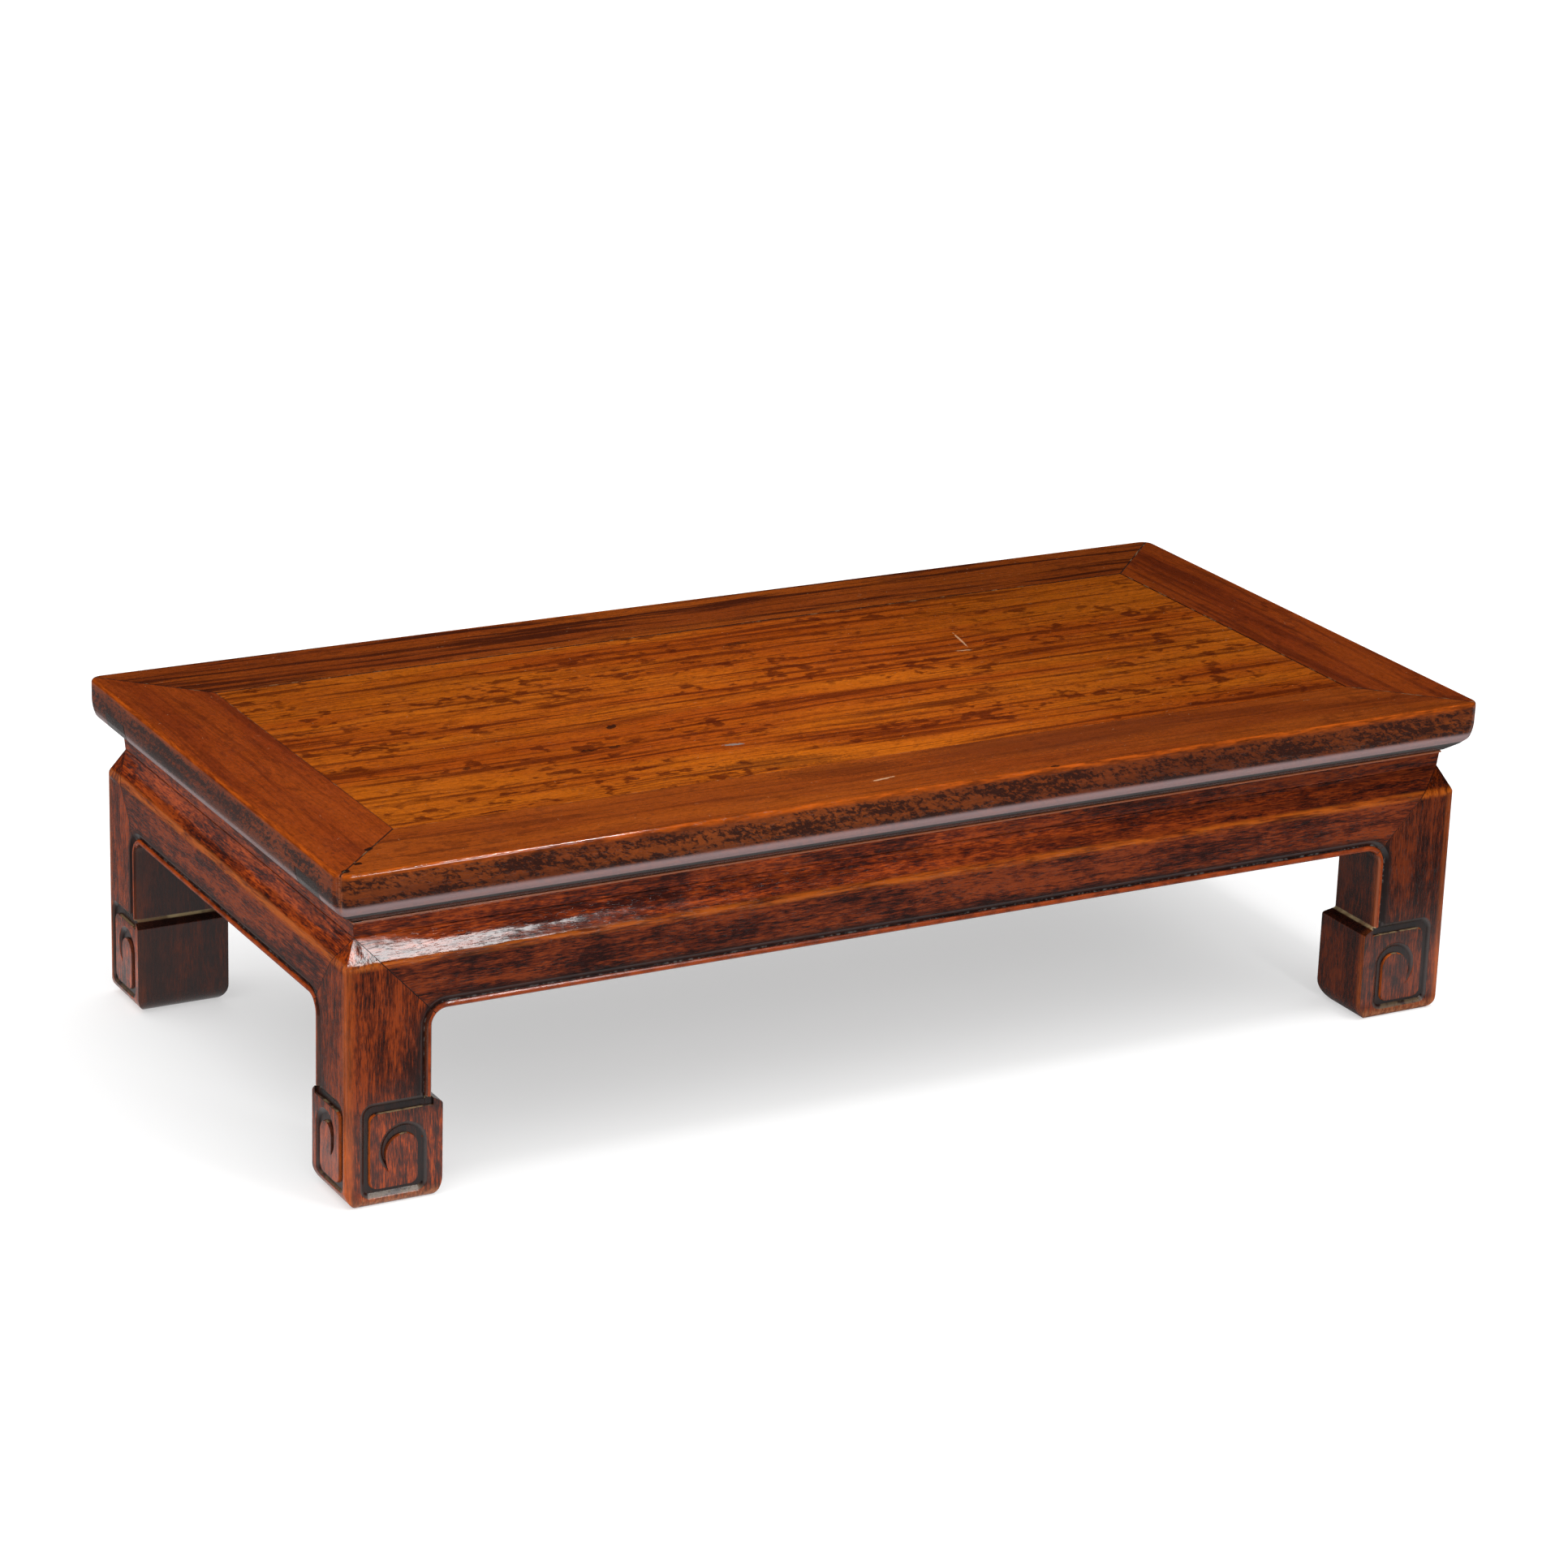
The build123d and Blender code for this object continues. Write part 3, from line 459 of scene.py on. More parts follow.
def finish_material(p, colour, roughness, height):
    """Surface from a colour, a roughness and a height in millimetres."""
    g = p.graph
    bump = g.node("ShaderNodeBump")
    g.put(bump.inputs["Height"], height)
    g.put(bump.inputs["Strength"], 1.0)
    g.put(bump.inputs["Distance"], MM)
    surface = g.node("ShaderNodeBsdfPrincipled")
    g.put(surface.inputs["Base Color"], colour)
    g.put(surface.inputs["Roughness"], roughness)
    g.put(surface.inputs["Normal"], bump.outputs[0])
    g.put(surface.inputs["IOR"], 1.5)
    output = g.node("ShaderNodeOutputMaterial")
    g.put(output.inputs["Surface"], surface.outputs[0])


# ------------------------------------------------------------------------------- wear and painted light of the top
def edge_mask(p):
    """One on the moulded edge of the frame."""
    g = p.graph
    below_arris = g.ramp(p.z, TOP - 1.5, TOP - 4.0)
    return g.mul(below_arris, g.ramp(p.edge_inset, EDGE_DEPTH + 4, EDGE_DEPTH))


def underside_mask(p):
    """One on the underside of the top."""
    g = p.graph
    facing_down = g.ramp(p.up, -0.7, -0.9)
    return g.mul(facing_down, g.ramp(p.edge_inset, EDGE_DEPTH - 2, EDGE_DEPTH + 2))


def edge_figure(p, colour, moulding):
    """Curly dark figure on the moulded edge, deeper towards its foot."""
    g = p.graph
    leaning = g.mul(g.add(p.grain, g.mul(p.z, 0.9)), 1 / 3.6)
    curl = g.noise(g.vector(leaning, g.mul(p.z, 1 / 2.6), p.seed), 3, 0.68, 0.5)
    flame = g.noise(p.fibre(70, 8, 93.0), 3, 0.6)
    curly = g.ramp(g.add(curl, g.mul(g.sub(flame, 0.5), 0.9)), 0.4, 0.6)
    colour = cover(g, colour, moulding, 0.12, EDGE_WOOD)
    colour = cover(g, colour, g.mul(curly, moulding), 0.9, UMBER)
    colour = cover(g, colour, g.mul(moulding, g.ramp(p.z, TOP - 8, COVE_TOP)), 0.3, UMBER)
    return shaded(g, colour, g.sub(1.0, g.mul(moulding, p.long_face, 0.2)))


def edge_painted_light_and_line(p, colour, moulding):
    """Painted reflection in the cove, black painted shade with a painted glint below, and a
    reddish raised line.
    """
    g = p.graph
    # painted reflection: the cove's mauve band of mirrored floor, laid into the colour
    in_cove = g.mul(g.ramp(p.z, COVE_TOP + 3, COVE_TOP), g.ramp(p.z, COVE_BOTTOM - 2, COVE_BOTTOM))
    colour = cover(g, colour, g.mul(in_cove, moulding), 0.58, PAINTED_COVE_REFLECTION)
    above_line = g.ramp(p.z, LINE_TOP - 0.1, LINE_TOP + 0.3)
    # painted shade: black where the undercut below the cove lies in shadow
    undercut_shade = g.mul(g.ramp(p.z, UNDERCUT_SHADE_TOP + 1, UNDERCUT_SHADE_TOP), above_line, moulding)
    colour = cover(g, colour, undercut_shade, 0.92, BLACK_BROWN)
    # painted highlight: a thin grey glint inside the black painted shade
    glint = g.mul(g.band(p.z, LINE_TOP + 2.8, 0.15, 0.3), moulding)
    colour = cover(g, colour, glint, 0.5, GREY_DUST_AND_GLINT)
    proud = g.ramp(p.edge_inset, EDGE_DEPTH + 0.2, EDGE_DEPTH - 0.6)
    line = g.mul(g.ramp(p.z, LINE_TOP + 0.1, LINE_TOP - 0.4), proud)
    return cover(g, colour, line, 0.8, RED_ARRIS)


def cove_relief(p):
    """Height, in millimetres, that turns the cove towards the floor in front."""
    g = p.graph
    start = TOP - 23.0
    curved, straight = 2.4, 4.8  # the slope grows over the first drop and stays over the second
    bend = 0.155
    drop = g.positive(g.sub(start, p.z))
    first = g.math("MINIMUM", drop, curved)
    second = g.math("MINIMUM", g.positive(g.sub(drop, curved)), straight)
    return g.add(g.mul(first, first, bend), g.mul(second, 2 * bend * curved))


def arris_wear(p, colour):
    """Bare honey wood where hands rub the upper arris, and reddish wood at its corners."""
    g = p.graph
    ragged = g.noise(p.fibre(18, 2.2, 95.0), 3, 0.7)
    arris = g.mul(g.ramp(p.edge_inset, 3.4, 0.8), g.ramp(p.z, TOP - 5, TOP - 1.6))
    colour = cover(g, colour, g.mul(arris, g.ramp(ragged, 0.36, 0.66)), 0.62, HONEY)
    corner = g.ramp(g.apart(p.from_short_edge, p.from_long_edge), 2.2, 0.4)
    tip = g.mul(corner, g.ramp(p.edge_inset, 5.0, 3.0), g.ramp(ragged, 0.36, 0.5))
    return cover(g, colour, tip, 0.6, RED_ARRIS)


def top_seams(p, colour):
    """Joint lines of the frame: the mitres and the edge of the panel."""
    g = p.graph
    level = g.ramp(p.z, TOP - 1.6, TOP - 0.9)
    mitre = g.ramp(g.apart(p.from_short_edge, p.from_long_edge), 1.0, 0.5)
    seam = g.mul(mitre, g.ramp(p.edge_inset, RAIL_WIDTH + 1, RAIL_WIDTH), level)
    border = g.band(p.edge_inset, RAIL_WIDTH + 0.15, 0.25, 0.4)
    seam = g.math("MAXIMUM", seam, g.mul(border, 0.85))
    dusty = g.ramp(g.noise(p.blotch(9, 97.0), 3), 0.56, 0.64)
    return cover(g, colour, seam, 0.9, g.blend(g.mul(dusty, 0.6), BLACK_BROWN, DUST)), seam


def tenon_ends(p, colour):
    """End grain of the tenons that show on the short edges."""
    g = p.graph
    middle = (TENON_START + RAIL_WIDTH) / 2
    end = g.mul(
        g.band(p.z, TOP - TENON_DROP - TENON_THICKNESS / 2, TENON_THICKNESS / 2 - 0.15, 0.3),
        g.band(p.from_long_edge, middle, middle - TENON_START - 0.1, 0.2),
        g.ramp(p.from_short_edge, EDGE_DEPTH + 4, EDGE_DEPTH),
    )
    rings = g.ramp(g.noise(p.blotch(1.3, 101.0), 2), 0.35, 0.65)
    return cover(g, colour, end, 0.92, g.blend(rings, *END_GRAIN))


def top_scuffs(p, colour):
    """Pale specks and hair scratches on the level top."""
    g = p.graph
    level = g.ramp(p.up, 0.8, 0.95)
    some = g.ramp(g.noise(p.blotch(5, 98.0)), 0.5, 0.6)
    scuffs = g.mul(g.ramp(g.cells(p.flat(6.5, 20, 1.0, 1.0)), 0.05, 0.03), some)
    for turn, shift in ((35, 2.0), (-20, 3.0), (80, 4.0)):
        few = g.ramp(g.noise(p.flat(14, turn, 1.0, shift)), 0.56, 0.6)
        scratch = g.ramp(g.cells(p.flat(2.4, turn, 14, shift)), 0.06, 0.03)
        scuffs = g.math("MAXIMUM", scuffs, g.mul(scratch, few, 0.7))
    return cover(g, colour, g.mul(scuffs, level), 0.5, PALE)


def darker_towards_edges(p, colour):
    """Wood darkened towards the back and the right, and the panel's towards both its ends."""
    g = p.graph
    right, back = g.ramp(p.x, 60, 240, 0.0, 0.22), g.ramp(p.y, 30, 110, 0.0, 0.12)
    left_end, right_end = g.ramp(p.x, -90, -220, 0.0, 0.12), g.ramp(p.x, 40, 200, 0.0, 0.1)
    panel = g.ramp(p.edge_inset, RAIL_WIDTH, RAIL_WIDTH + 1)
    loss = g.add(g.add(right, back), g.mul(g.add(left_end, right_end), panel))
    return shaded(g, colour, g.sub(1.0, loss))


def top_wood(name, grain_axis, seed, tones, streaks, dashes, shade=1.0, marks=(), tenons=False):
    """Wood of the frame and the panel."""
    material, g = new_material(name)
    p = Place(g, grain_axis, seed)
    colour = darker_towards_edges(p, shaded(g, figured_colour(p, tones, streaks, dashes), shade))
    pore = pores(p)
    colour = cover(g, colour, pore, 0.5, UMBER)
    moulding, underside = edge_mask(p), underside_mask(p)
    colour = edge_painted_light_and_line(p, edge_figure(p, colour, moulding), moulding)
    colour = cover(g, colour, underside, 0.7, UMBER)
    colour = arris_wear(p, colour)
    for x, y, half_length, half_width, turn, tint, strength in marks:
        colour = cover(g, colour, p.spot(x, y, half_length, half_width, turn), strength, tint)
    colour, seam = top_seams(p, colour)
    if tenons:
        colour = tenon_ends(p, colour)
    colour = top_scuffs(p, colour)
    dull = g.add(g.mul(underside, 0.8), g.mul(seam, 0.6))
    rubbed = g.mul(g.ramp(p.edge_inset, 4.0, 2.5), g.ramp(p.z, TOP - 4, TOP - 2.5))
    height = g.add(relief(p, pore), cove_relief(p))
    finish_material(p, colour, gloss(p, pore, dull, rubbed), height)
    return material


# ------------------------------------------------------------------------------- wear, dirt and painted light of the base
def shoulder_wear_and_painted_light(p, colour):
    """Waist and slope painted lighter above the ridge, less to the right; dirt blotches and a
    honey ridge.
    """
    g = p.graph
    outside = p.outer_face()
    above = g.mul(g.ramp(p.z, RIDGE_HEIGHT, RIDGE_HEIGHT + 5), outside)
    # painted light: colour lifted above the ridge, most on the left, none at the shaded right end
    painted_lift = g.ramp(p.x, -40, 300, 0.95, 0.0)
    colour = shaded(g, colour, g.add(1.0, g.mul(above, painted_lift)))
    dirt = g.ramp(g.noise(p.fibre(46, 5, 107.0), 4, 0.65), 0.38, 0.64)
    colour = cover(g, colour, g.mul(dirt, above), 0.5, UMBER)
    rub = g.ramp(g.noise(p.fibre(44, 2.4, 103.0), 3, 0.7), 0.36, 0.6)
    ridge = g.mul(g.band(p.z, RIDGE_HEIGHT - 0.8, 0.4, 3.2), outside, g.add(0.1, g.mul(rub, 0.9)))
    return cover(g, colour, ridge, 0.6, GOLDEN)


def shoulder_relief(p):
    """Hollow under the waist and lumps on the slope, in millimetres."""
    g = p.graph
    rise = g.positive(g.sub(p.z, WAIST_VALLEY_HEIGHT - 11))
    hollow = g.mul(rise, rise, g.ramp(p.along, 20, 90, 0.009, 0.02))
    slope = g.mul(
        g.ramp(p.z, RIDGE_HEIGHT - 1, RIDGE_HEIGHT + 2),
        g.ramp(p.z, WAIST_VALLEY_HEIGHT, WAIST_VALLEY_HEIGHT - 5),
    )
    broad = g.noise(p.fibre(26, 7.5, 131.0), 1)
    small = g.noise(p.fibre(9, 2.6, 133.0), 2)
    lumps = g.mul(g.add(broad, g.mul(small, 0.25)), slope, 0.3)
    below = g.ramp(p.z, WAIST_VALLEY_HEIGHT + 0.6, WAIST_VALLEY_HEIGHT - 0.2)
    return g.mul(g.add(hollow, lumps), g.mul(p.outer_face(), below))


def mitre_seam(p):
    """Hairline between leg and apron, from the waist to the opening."""
    g = p.graph
    inner = p.by_side(LEG_INNER_LONG, LEG_INNER_SHORT)
    run = g.sub(g.add(inner, MITRE_OVERRUN), WAIST_VALLEY_INSET)
    fall = WAIST_VALLEY_HEIGHT - APRON_BOTTOM + MITRE_OVERRUN
    slope = g.math("DIVIDE", fall, run)
    line = g.sub(WAIST_VALLEY_HEIGHT, g.mul(slope, g.sub(p.along, WAIST_VALLEY_INSET)))
    outside = g.ramp(p.inset, 24, 20)
    above_opening = g.ramp(p.z, APRON_BOTTOM - 4, APRON_BOTTOM - 2)
    below_waist = g.ramp(p.z, WAIST_VALLEY_HEIGHT + 1, WAIST_VALLEY_HEIGHT)
    return g.mul(g.ramp(g.apart(p.z, line), 0.6, 0.25), outside, above_opening, below_waist)


def bead_and_groove(p, colour):
    """Orange bead round the opening, with black dirt, painted shade and dust in the groove behind
    it.
    """
    g = p.graph
    edge = opening_distance(p)
    face = g.ramp(p.inset, FACE_INSET + 3.2, FACE_INSET + 2.8)
    above_foot = g.ramp(p.z, FOOT_HEIGHT - 1, FOOT_HEIGHT)
    worn = g.ramp(g.noise(p.blotch(9, 105.0), 3), 0.35, 0.6)
    bead = g.mul(g.ramp(edge, BEAD_WIDTH, BEAD_WIDTH - 0.6), face, above_foot)
    colour = cover(g, colour, g.mul(bead, g.add(0.4, g.mul(worn, 0.6))), 0.75, ORANGE)
    # black dirt and painted shade in the groove, fading out past its edge
    halo = g.ramp(edge, GROOVE_END + 5.0, GROOVE_END - 1.0)
    groove = g.mul(halo, g.ramp(edge, BEAD_WIDTH - 0.2, BEAD_WIDTH + 0.2), face, above_foot)
    colour = cover(g, colour, groove, 0.9, BLACK_BROWN)
    crumbs = g.ramp(g.noise(p.blotch(3.0, 109.0), 3, 0.6), 0.5, 0.62)
    settled = g.mul(g.band(edge, BEAD_WIDTH + 0.6, 0.3, 0.5), face, above_foot, crumbs)
    return cover(g, colour, settled, 0.5, GREY_DUST_AND_GLINT), groove


def scroll_soot_and_shade(p, colour):
    """Soot and painted shade in the foot's scroll, black in its depth, dust lying on the ledges
    that face up.
    """
    g = p.graph
    depth = g.sub(p.inset, toe_surface(p))
    low = g.ramp(p.z, FOOT_HEIGHT + 4, FOOT_HEIGHT + 2.6)
    foot = g.mul(low, g.ramp(p.along, FACE_INSET + 2, FACE_INSET + 3))
    # soot and painted shade in the carving, turning black with its depth
    carved = g.mul(g.ramp(depth, 0.03, 0.5), g.ramp(depth, 4.0, 3.0), foot)
    soot_and_shade = g.blend(g.ramp(depth, 0.7, 1.5), SOOT_AND_SHADE, BLACK_BROWN)
    colour = cover(g, colour, carved, 0.92, soot_and_shade)
    thin = g.ramp(g.noise(p.blotch(6, 110.0), 2), 0.36, 0.56)
    settled = g.mul(g.ramp(p.up, 0.3, 0.7), carved, thin)
    return cover(g, colour, settled, 0.7, DUST), carved


def leg_wear_and_painted_sides(p, colour):
    """Honey outer corner and worn toes, lighter towards the feet, and painted light on the short
    sides.
    """
    g = p.graph
    rub = g.ramp(g.noise(p.fibre(30, 2.2, 111.0), 3, 0.65), 0.3, 0.6)
    below_ridge = g.ramp(p.z, RIDGE_HEIGHT, RIDGE_HEIGHT - 4)
    corner = g.mul(g.ramp(p.along, FACE_INSET + 7.5, FACE_INSET + 1.5), below_ridge)
    colour = cover(g, colour, g.mul(corner, g.add(0.3, g.mul(rub, 0.7))), 0.6, CORNER_WOOD)
    chafed = g.ramp(g.noise(p.fibre(5, 2.6, 112.0), 3, 0.65), 0.4, 0.62)
    toe = g.mul(g.ramp(p.z, 9, 0.5), g.ramp(p.inset, 34, 26), g.add(0.35, g.mul(chafed, 0.65)))
    colour = cover(g, colour, toe, 0.72, TOE_WOOD)
    # lighter towards the feet; painted light makes the short sides lighter
    light = g.ramp(p.z, FOOT_HEIGHT + 0.5, FOOT_HEIGHT - 19.5, 1.0, 1.5)
    return shaded(g, colour, g.mul(light, p.by_side(1.0, 1.4)))


def inner_shade_and_dust(p, colour, strength):
    """Painted shade on the inner faces, dust on the ledge of the foot, and black painted shadow
    under its lip.
    """
    g = p.graph
    inside = g.ramp(p.inset, 25, 30)
    patchy = g.ramp(g.noise(p.blotch(30, 113.0), 3), 0.3, 0.7)
    # painted shade: inner faces darkened where the table shades them, weakly on the lit front
    # right leg
    dark = g.mul(inside, g.add(0.66, g.mul(patchy, 0.26)))
    colour = cover(g, colour, dark, strength, PAINTED_INSIDE_SHADE)
    # painted shadow: black under the lip of the foot's ledge
    below = g.mul(g.band(p.z, FOOT_HEIGHT - 2.6, 1.5, 0.6), inside)
    colour = cover(g, colour, below, 0.75, BLACK_BROWN)
    cloudy = g.add(0.35, g.mul(g.ramp(g.noise(p.blotch(12, 117.0)), 0.36, 0.56), 0.65))
    ledge = g.mul(g.band(p.z, FOOT_HEIGHT, 0.4, 0.8), inside, cloudy)
    return cover(g, colour, ledge, 0.9, LEDGE_DUST), ledge


def base_wood(name, grain_axis, seed, tones, slant=0.0, shade=1.0, inside_shade=1.0):
    """Wood of the aprons and the legs, dark with dirt and painted shade in the hollows and worn
    bright on the edges.
    """
    material, g = new_material(name)
    p = Place(g, grain_axis, seed, slant)
    colour = shaded(g, interlocked_colour(p, tones), shade)
    pore = pores(p)
    colour = cover(g, colour, pore, 0.7, BLACK_BROWN)
    colour = shoulder_wear_and_painted_light(p, colour)
    colour, groove = bead_and_groove(p, colour)
    colour, ledge = inner_shade_and_dust(p, leg_wear_and_painted_sides(p, colour), inside_shade)
    colour, carved = scroll_soot_and_shade(p, colour)
    colour = cover(g, colour, mitre_seam(p), 0.85, BLACK_BROWN)
    dull = g.add(g.mul(groove, 0.25), g.add(g.mul(carved, 0.15), g.mul(ledge, 0.8)))
    slope = g.mul(g.ramp(p.z, RIDGE_HEIGHT - 2, RIDGE_HEIGHT + 1), p.outer_face(), 0.75)
    height = g.add(relief(p, pore), shoulder_relief(p))
    finish_material(p, colour, gloss(p, pore, dull, slope), height)
    return material


def batten_wood(name, seed):
    """Plain planed wood out of sight, dull with dust."""
    material, g = new_material(name)
    p = Place(g, "Y", seed)
    pore = pores(p)
    colour = cover(g, figured_colour(p, BATTEN, 0.6, 0.3), pore, 0.6, BLACK_BROWN)
    grey = g.ramp(g.noise(p.blotch(22, 121.0), 3), 0.35, 0.75)
    colour = cover(g, colour, grey, 0.35, BATTEN_DUST)
    finish_material(p, colour, gloss(p, pore, 0.9), relief(p, pore))
    return material


# ------------------------------------------------------------------------------- pieces
def level_inset(profile, height):
    """Inset of the moulded edge at a height, between the levels of its profile."""
    low = max((level for level in profile if level <= height), default=min(profile))
    high = min((level for level in profile if level >= height), default=max(profile))
    share = (height - low) / (high - low) if high > low else 0.0
    return profile[low] + (profile[high] - profile[low]) * share


def cut_for_corner(mesh, along, half, radius):
    """Cuts across both ends of a rail, so that its corners can follow an arc."""
    for side in (-1, 1):
        for turn in CORNER_TURNS:
            place, normal = Vector(), Vector()
            place[along] = side * (half - radius * (1 - tan(radians(turn))))
            normal[along] = 1.0
            everything = mesh.verts[:] + mesh.edges[:] + mesh.faces[:]
            bmesh.ops.bisect_plane(
                mesh, geom=everything, plane_co=place, plane_no=normal, dist=CUT_TOLERANCE * MM
            )


def worn_corners(mesh, along, outward):
    """Corners of the top worn round in plan, on a rail that runs along one axis."""
    half = (HIGH.x, HIGH.y)
    radius = CORNER_RADIUS * MM
    cut_for_corner(mesh, along, half[along], radius)
    profile = {}
    for vert in mesh.verts:
        inset = half[outward] - abs(vert.co[outward])
        on_cut = abs(abs(vert.co[along]) - half[along] + radius) < ON_CUT * MM
        if on_cut and inset < EDGE_DEPTH * MM:
            profile[vert.co.z] = min(inset, profile.get(vert.co.z, inset))
    for vert in mesh.verts:
        legs = [radius - half[axis] + abs(vert.co[axis]) for axis in (along, outward)]
        room = radius - level_inset(profile, vert.co.z)
        reach = hypot(*legs)
        if min(legs) > 0 and reach > room > 0:
            for axis, leg in zip((along, outward), legs):
                vert.co[axis] = copysign(half[axis] - radius + leg * room / reach, vert.co[axis])


def wear_edges(mesh, width):
    """Sharp edges of a mesh worn round."""
    sharp = [
        edge for edge in mesh.edges
        if len(edge.link_faces) == 2 and edge.calc_face_angle(0.0) > radians(SHARP_TURN)
    ]
    bmesh.ops.bevel(
        mesh, geom=sharp, offset=width * MM, offset_type="OFFSET", segments=3, profile=0.5,
        affect="EDGES", clamp_overlap=True, harden_normals=False,
    )
    bmesh.ops.triangulate(mesh, faces=[face for face in mesh.faces if len(face.verts) > 4])


def dressed(node, edge_wear, material):
    """Copy of a CAD piece with its sharp edges worn round."""
    mesh = bmesh.new()
    mesh.from_mesh(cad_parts[node].data)
    bmesh.ops.remove_doubles(mesh, verts=mesh.verts, dist=WELD_DISTANCE * MM)
    bmesh.ops.dissolve_limit(
        mesh, angle_limit=radians(FLAT_TURN), verts=mesh.verts, edges=mesh.edges,
        use_dissolve_boundaries=False,
    )
    if node in ("top_rail_front", "top_rail_back"):
        worn_corners(mesh, 0, 1)
    elif node in ("top_rail_left", "top_rail_right"):
        worn_corners(mesh, 1, 0)
    wear_edges(mesh, edge_wear)
    data = bpy.data.meshes.new(node + "_worn")
    mesh.to_mesh(data)
    mesh.free()
    data.polygons.foreach_set("use_smooth", [True] * len(data.polygons))
    data.materials.clear()
    data.materials.append(material)
    piece = bpy.data.objects.new(node + "_worn", data)
    bpy.context.scene.collection.objects.link(piece)
    weighted = piece.modifiers.new("flat faces stay flat", "WEIGHTED_NORMAL")
    weighted.keep_sharp = True
    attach(piece, "root")
    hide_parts(node)
    return piece


# Marks on the top: x and y from the centre, half length, half width, turn, tint and strength.
PANEL_MARKS = (
    (-138, -21, 4.5, 2.6, 40, BLACK_BROWN, 0.85),
    (-254, -57, 3.2, 1.8, 20, BLACK_BROWN, 0.7),
    (15, 99, 10, 2.6, 0, BLACK_BROWN, 0.55),
    (-153, -56, 4.5, 1.8, 10, BLACK_BROWN, 0.7),
    (-171, -56, 5.5, 1.8, -10, BLACK_BROWN, 0.7),
    (-83, -81, 6.5, 1.7, -6, GREY_DUST_AND_GLINT, 0.8),
    (-72, -122, 42, 9, -8, UMBER, 0.42),
    (156, 48, 13, 0.8, 78, PALE, 0.4),
    (148, 28, 6, 0.9, -10, PALE, 0.4),
)
CORNER_MARKS = (
    (-364.6, -162.8, 3.2, 2.0, 30, BLACK_BROWN, 0.9),
    (-380.2, -182.6, 2.8, 1.8, 20, BLACK_BROWN, 0.9),
    (-391.6, -191.0, 3.0, 2.2, 20, BLACK_BROWN, 0.9),
)
FRONT_MARKS = CORNER_MARKS + (
    (79.6, -196.0, 3.0, 1.6, 0, BLACK_BROWN, 0.8),
    (-31, -174.6, 8, 1.0, 8, PALE, 0.45),
    (-45, -150, 42, 11, -8, UMBER, 0.3),
    (110, -150, 95, 22, 0, RUSSET, 0.45),
)

# Slot and material of each piece, by its node.
PIECES = {
    "top_panel": (
        "panel_wood", top_wood("panel", "X", 1, GOLD, 0.76, 0.8, marks=PANEL_MARKS)
    ),
    "top_rail_front": (
        "rail_wood",
        top_wood("rail_front", "X", 2, RAIL, 0.35, 0.35, marks=FRONT_MARKS, tenons=True),
    ),
    "top_rail_back": (
        "rail_wood", top_wood("rail_back", "X", 3, RAIL, 1.0, 0.4, 0.95, tenons=True)
    ),
    "top_rail_left": (
        "rail_wood", top_wood("rail_left", "Y", 4, RED_RAIL, 0.4, 0.35, 0.92, CORNER_MARKS)
    ),
    "top_rail_right": ("rail_wood", top_wood("rail_right", "Y", 5, RED_RAIL, 0.5, 0.4, 0.86)),
    "batten_left": ("batten_wood", batten_wood("batten_left", 6)),
    "batten_right": ("batten_wood", batten_wood("batten_right", 7)),
    "apron_front": ("apron_wood", base_wood("apron_front", "X", 8, APRON, 0.02, 0.8)),
    "apron_back": ("apron_wood", base_wood("apron_back", "X", 9, APRON, -0.02)),
    "apron_left": ("apron_wood", base_wood("apron_left", "Y", 10, APRON, 0.03, 0.9)),
    "apron_right": ("apron_wood", base_wood("apron_right", "Y", 11, APRON, -0.03)),
    "leg_front_left": ("leg_wood", base_wood("leg_front_left", "Z", 12, LEG, shade=0.84)),
    "leg_front_right": (
        "leg_wood", base_wood("leg_front_right", "Z", 13, LEG, shade=0.46, inside_shade=0.3)
    ),
    "leg_back_left": ("leg_wood", base_wood("leg_back_left", "Z", 14, LEG)),
    "leg_back_right": ("leg_wood", base_wood("leg_back_right", "Z", 15, LEG)),
}
for node, (slot, material) in PIECES.items():
    dressed(node, EDGE_WEAR[slot], material)


# ------------------------------------------------------------------------------- stage
FLOOR_REACH = 30.0
FLOOR_PAPER = 0.53  # share of the light that the floor scatters
FLOOR_GLOW = 0.482  # and what it adds for the camera, which keeps the table's shadow pale

# Brightness of the floor in the polish: near the table and farther off, left and right under it.
MIRRORED_FRONT = (0.9, 0.1)
MIRRORED_SIDE = (0.85, 0.17)
MIRRORED_BENEATH = (0.55, 0.15)

# Brightness of the tent, as the wood sees it and as the camera does.
TENT_OVERHEAD = 1.6
TENT_FRONT = 0.75
TENT_LEFT = 0.4
TENT_ROUND = 0.05
TENT_SEEN = 1.2

# Camera in the table's frame: metres and radians, its sensor in millimetres.
PHOTO_PIXELS = 1932
FOCAL_PIXELS = 5805.1
SENSOR = 36.0
AZIMUTH = 0.50937
ELEVATION = 0.33784
ROLL = 0.0338
TARGET = Vector((0.20556, 0.37051, 0.0))
DISTANCE = 3.48658


def floor_in_polish(g):
    """Brightness that the polish mirrors, from where a point of the floor lies."""
    x, y = g.split(g.node("ShaderNodeTexCoord").outputs["Object"])[:2]
    ahead = g.sub(g.mul(y, -1.0), HIGH.y)
    beside = g.sub(g.mul(x, -1.0), HIGH.x)
    in_front = g.choose(g.ramp(ahead, 0.10, 0.16), *MIRRORED_FRONT)
    at_the_side = g.choose(g.ramp(beside, 0.01, 0.05), *MIRRORED_SIDE)
    beneath = g.ramp(x, -0.1, 0.25, *MIRRORED_BENEATH)
    mirrored = g.choose(g.ramp(beside, 0.0, 0.02), beneath, at_the_side)
    return g.choose(g.ramp(ahead, 0.0, 0.02), mirrored, in_front)


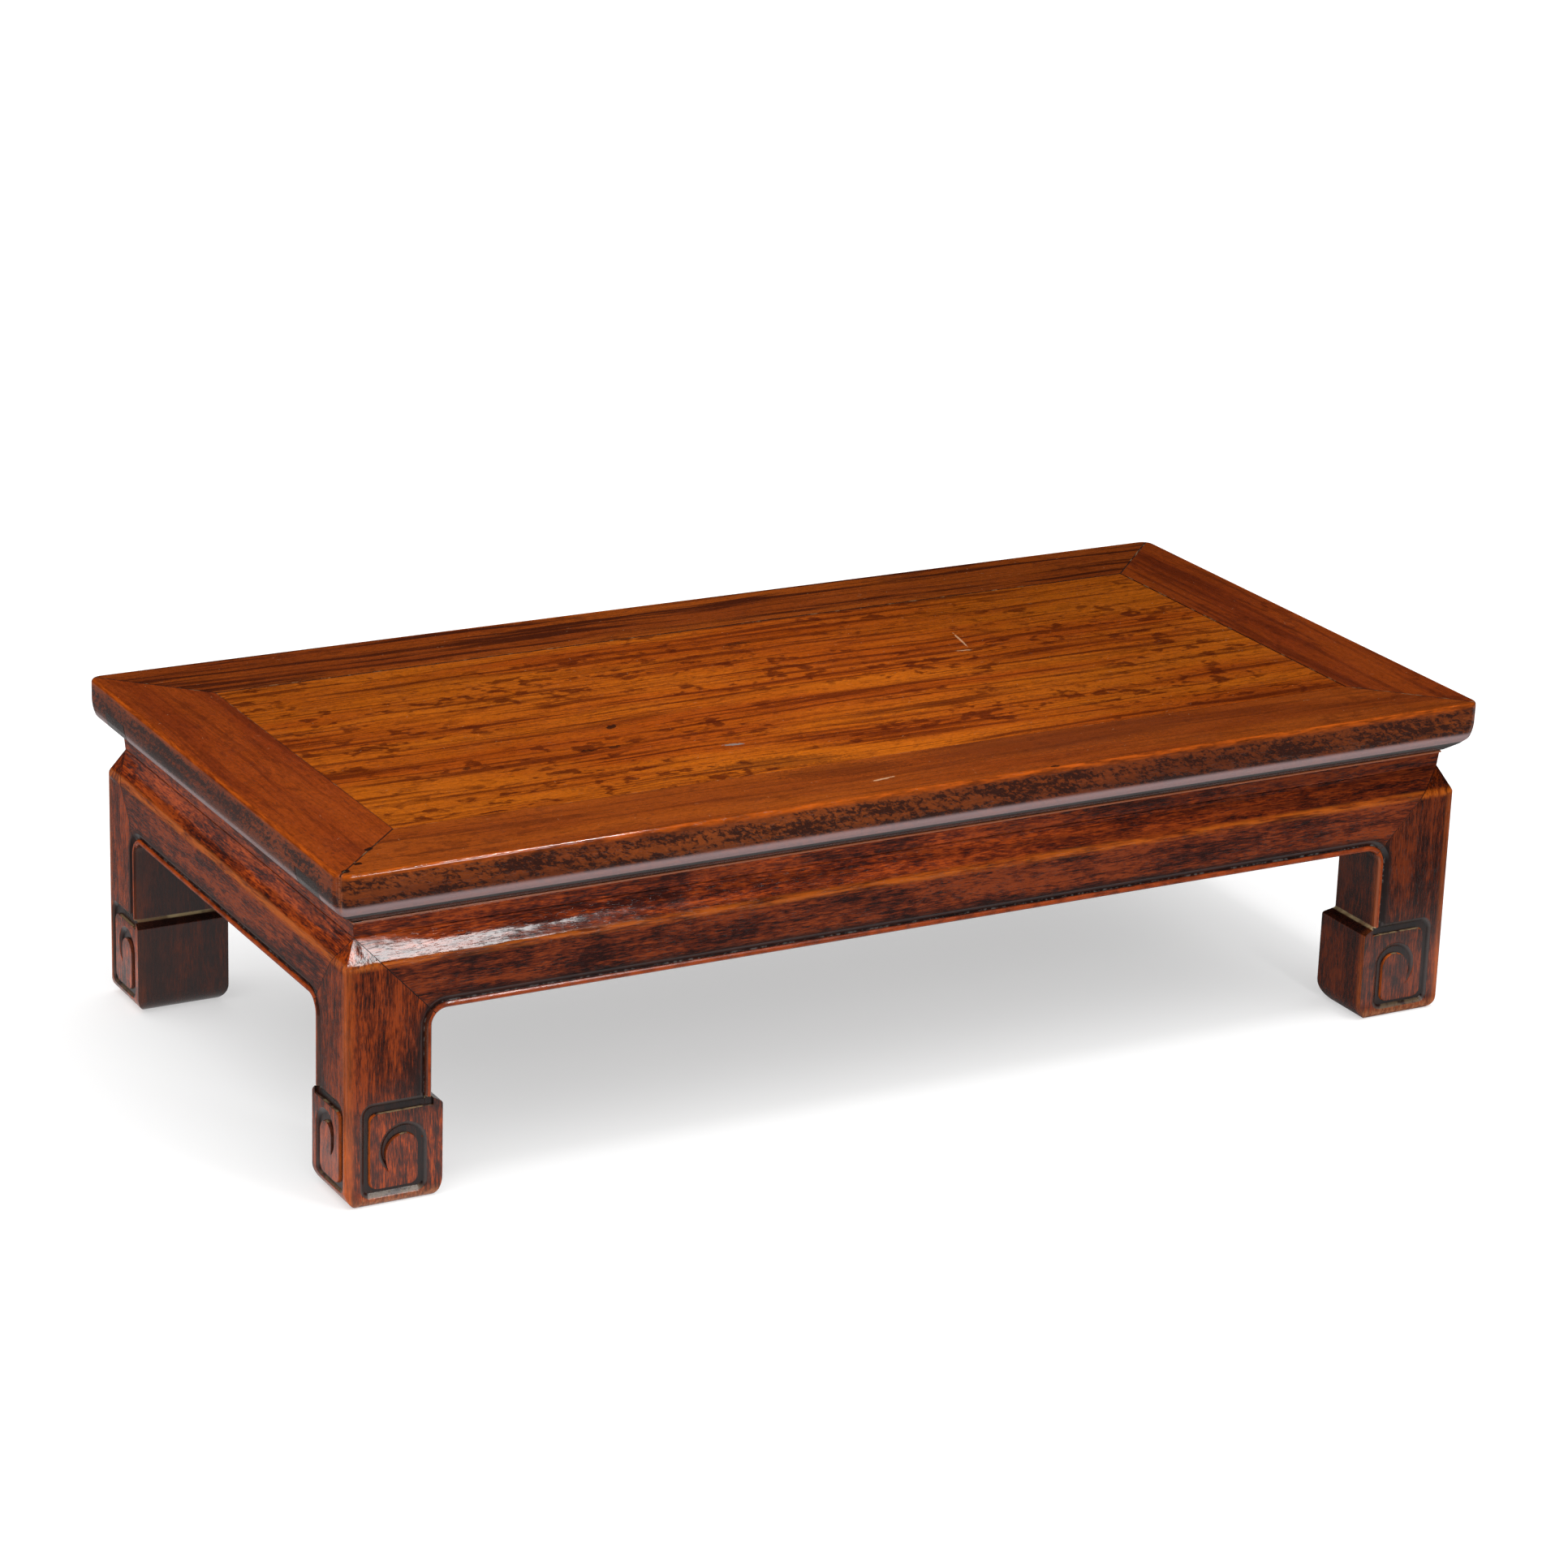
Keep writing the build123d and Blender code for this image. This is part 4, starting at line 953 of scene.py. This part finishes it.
def floor_material():
    """White paper that glows for the camera, and for the polish in a way of its own."""
    material, g = new_material("floor_white")
    rays = g.node("ShaderNodeLightPath").outputs
    white = g.choose(rays["Is Glossy Ray"], FLOOR_PAPER, 0.0)
    paper = g.node("ShaderNodeBsdfDiffuse")
    g.put(paper.inputs["Color"], g.vector(white, white, white))
    seen = g.mul(rays["Is Camera Ray"], FLOOR_GLOW)
    mirrored = g.mul(rays["Is Glossy Ray"], floor_in_polish(g))
    glow = g.node("ShaderNodeEmission")
    g.put(glow.inputs["Strength"], g.add(seen, mirrored))
    both = g.node("ShaderNodeAddShader")
    g.put(both.inputs[0], paper.outputs[0])
    g.put(both.inputs[1], glow.outputs[0])
    output = g.node("ShaderNodeOutputMaterial")
    g.put(output.inputs["Surface"], both.outputs[0])
    return material


def make_floor():
    """White floor under the table."""
    data = bpy.data.meshes.new("floor")
    corners = ((-1, -1), (1, -1), (1, 1), (-1, 1))
    places = [(x * FLOOR_REACH, y * FLOOR_REACH, 0) for x, y in corners]
    data.from_pydata(places, [], [(0, 1, 2, 3)])
    data.materials.append(floor_material())
    floor = bpy.data.objects.new("floor", data)
    bpy.context.scene.collection.objects.link(floor)


def make_world():
    """Studio tent: white to the camera, for the wood bright overhead, in front and on the left."""
    world = bpy.data.worlds.new("studio")
    bpy.context.scene.world = world
    world.use_nodes = True
    world.cycles_visibility.glossy = False
    g = Graph(world.node_tree)
    x, y, z = g.split(g.node("ShaderNodeTexCoord").outputs["Generated"])
    above_floor = g.ramp(z, -0.05, 0.2)
    overhead = g.mul(g.ramp(z, 0.35, 0.8), TENT_OVERHEAD)
    front = g.mul(g.ramp(y, 0.2, -0.9), above_floor, TENT_FRONT)
    left = g.mul(g.ramp(x, -0.3, -0.95), above_floor, TENT_LEFT)
    strength = g.add(g.add(overhead, g.add(front, left)), TENT_ROUND)
    seen = g.node("ShaderNodeLightPath").outputs["Is Camera Ray"]
    shader = g.node("ShaderNodeBackground")
    g.put(shader.inputs["Color"], (1.0, 1.0, 1.0, 1.0))
    g.put(shader.inputs["Strength"], g.choose(seen, strength, TENT_SEEN))
    output = g.node("ShaderNodeOutputWorld")
    g.put(output.inputs["Surface"], shader.outputs[0])


def soft_light(name, place, target, size, radiance):
    """Rectangular lamp of this brightness, which the polish mirrors."""
    data = bpy.data.lights.new(name, "AREA")
    data.shape = "RECTANGLE"
    data.size, data.size_y = size
    data.energy = radiance * pi * size[0] * size[1]
    light = bpy.data.objects.new(name, data)
    bpy.context.scene.collection.objects.link(light)
    light.location = place
    light.rotation_euler = (Vector(target) - Vector(place)).to_track_quat("-Z", "Y").to_euler()


def make_camera():
    """Camera that sees the table as the photo does."""
    data = bpy.data.cameras.new("camera")
    data.sensor_width = SENSOR
    data.lens = FOCAL_PIXELS / PHOTO_PIXELS * SENSOR
    data.clip_end = 100.0
    camera = bpy.data.objects.new("camera", data)
    bpy.context.scene.collection.objects.link(camera)
    back = Vector(
        (-sin(AZIMUTH) * cos(ELEVATION), -cos(AZIMUTH) * cos(ELEVATION), sin(ELEVATION))
    )
    right = Vector((0, 0, 1)).cross(back).normalized()
    up = back.cross(right)
    rolled_right = right * cos(ROLL) + up * sin(ROLL)
    rolled_up = up * cos(ROLL) - right * sin(ROLL)
    place = Matrix((rolled_right, rolled_up, back)).transposed().to_4x4()
    place.translation = TARGET + back * DISTANCE
    camera.matrix_world = place
    bpy.context.scene.camera = camera


make_floor()
make_world()
make_camera()
soft_light(
    "shoulder_lamp", place=(0.25, -1.43, 0.8), target=(-0.45, -0.19, 0.16),
    size=(0.17, 0.46), radiance=15.0,
)
soft_light(
    "arris_lamp", place=(0.53, -0.5, 1.95), target=(-0.25, -0.2, 0.21),
    size=(0.5, 0.03), radiance=220.0,
)
bpy.context.scene.view_settings.view_transform = "Standard"
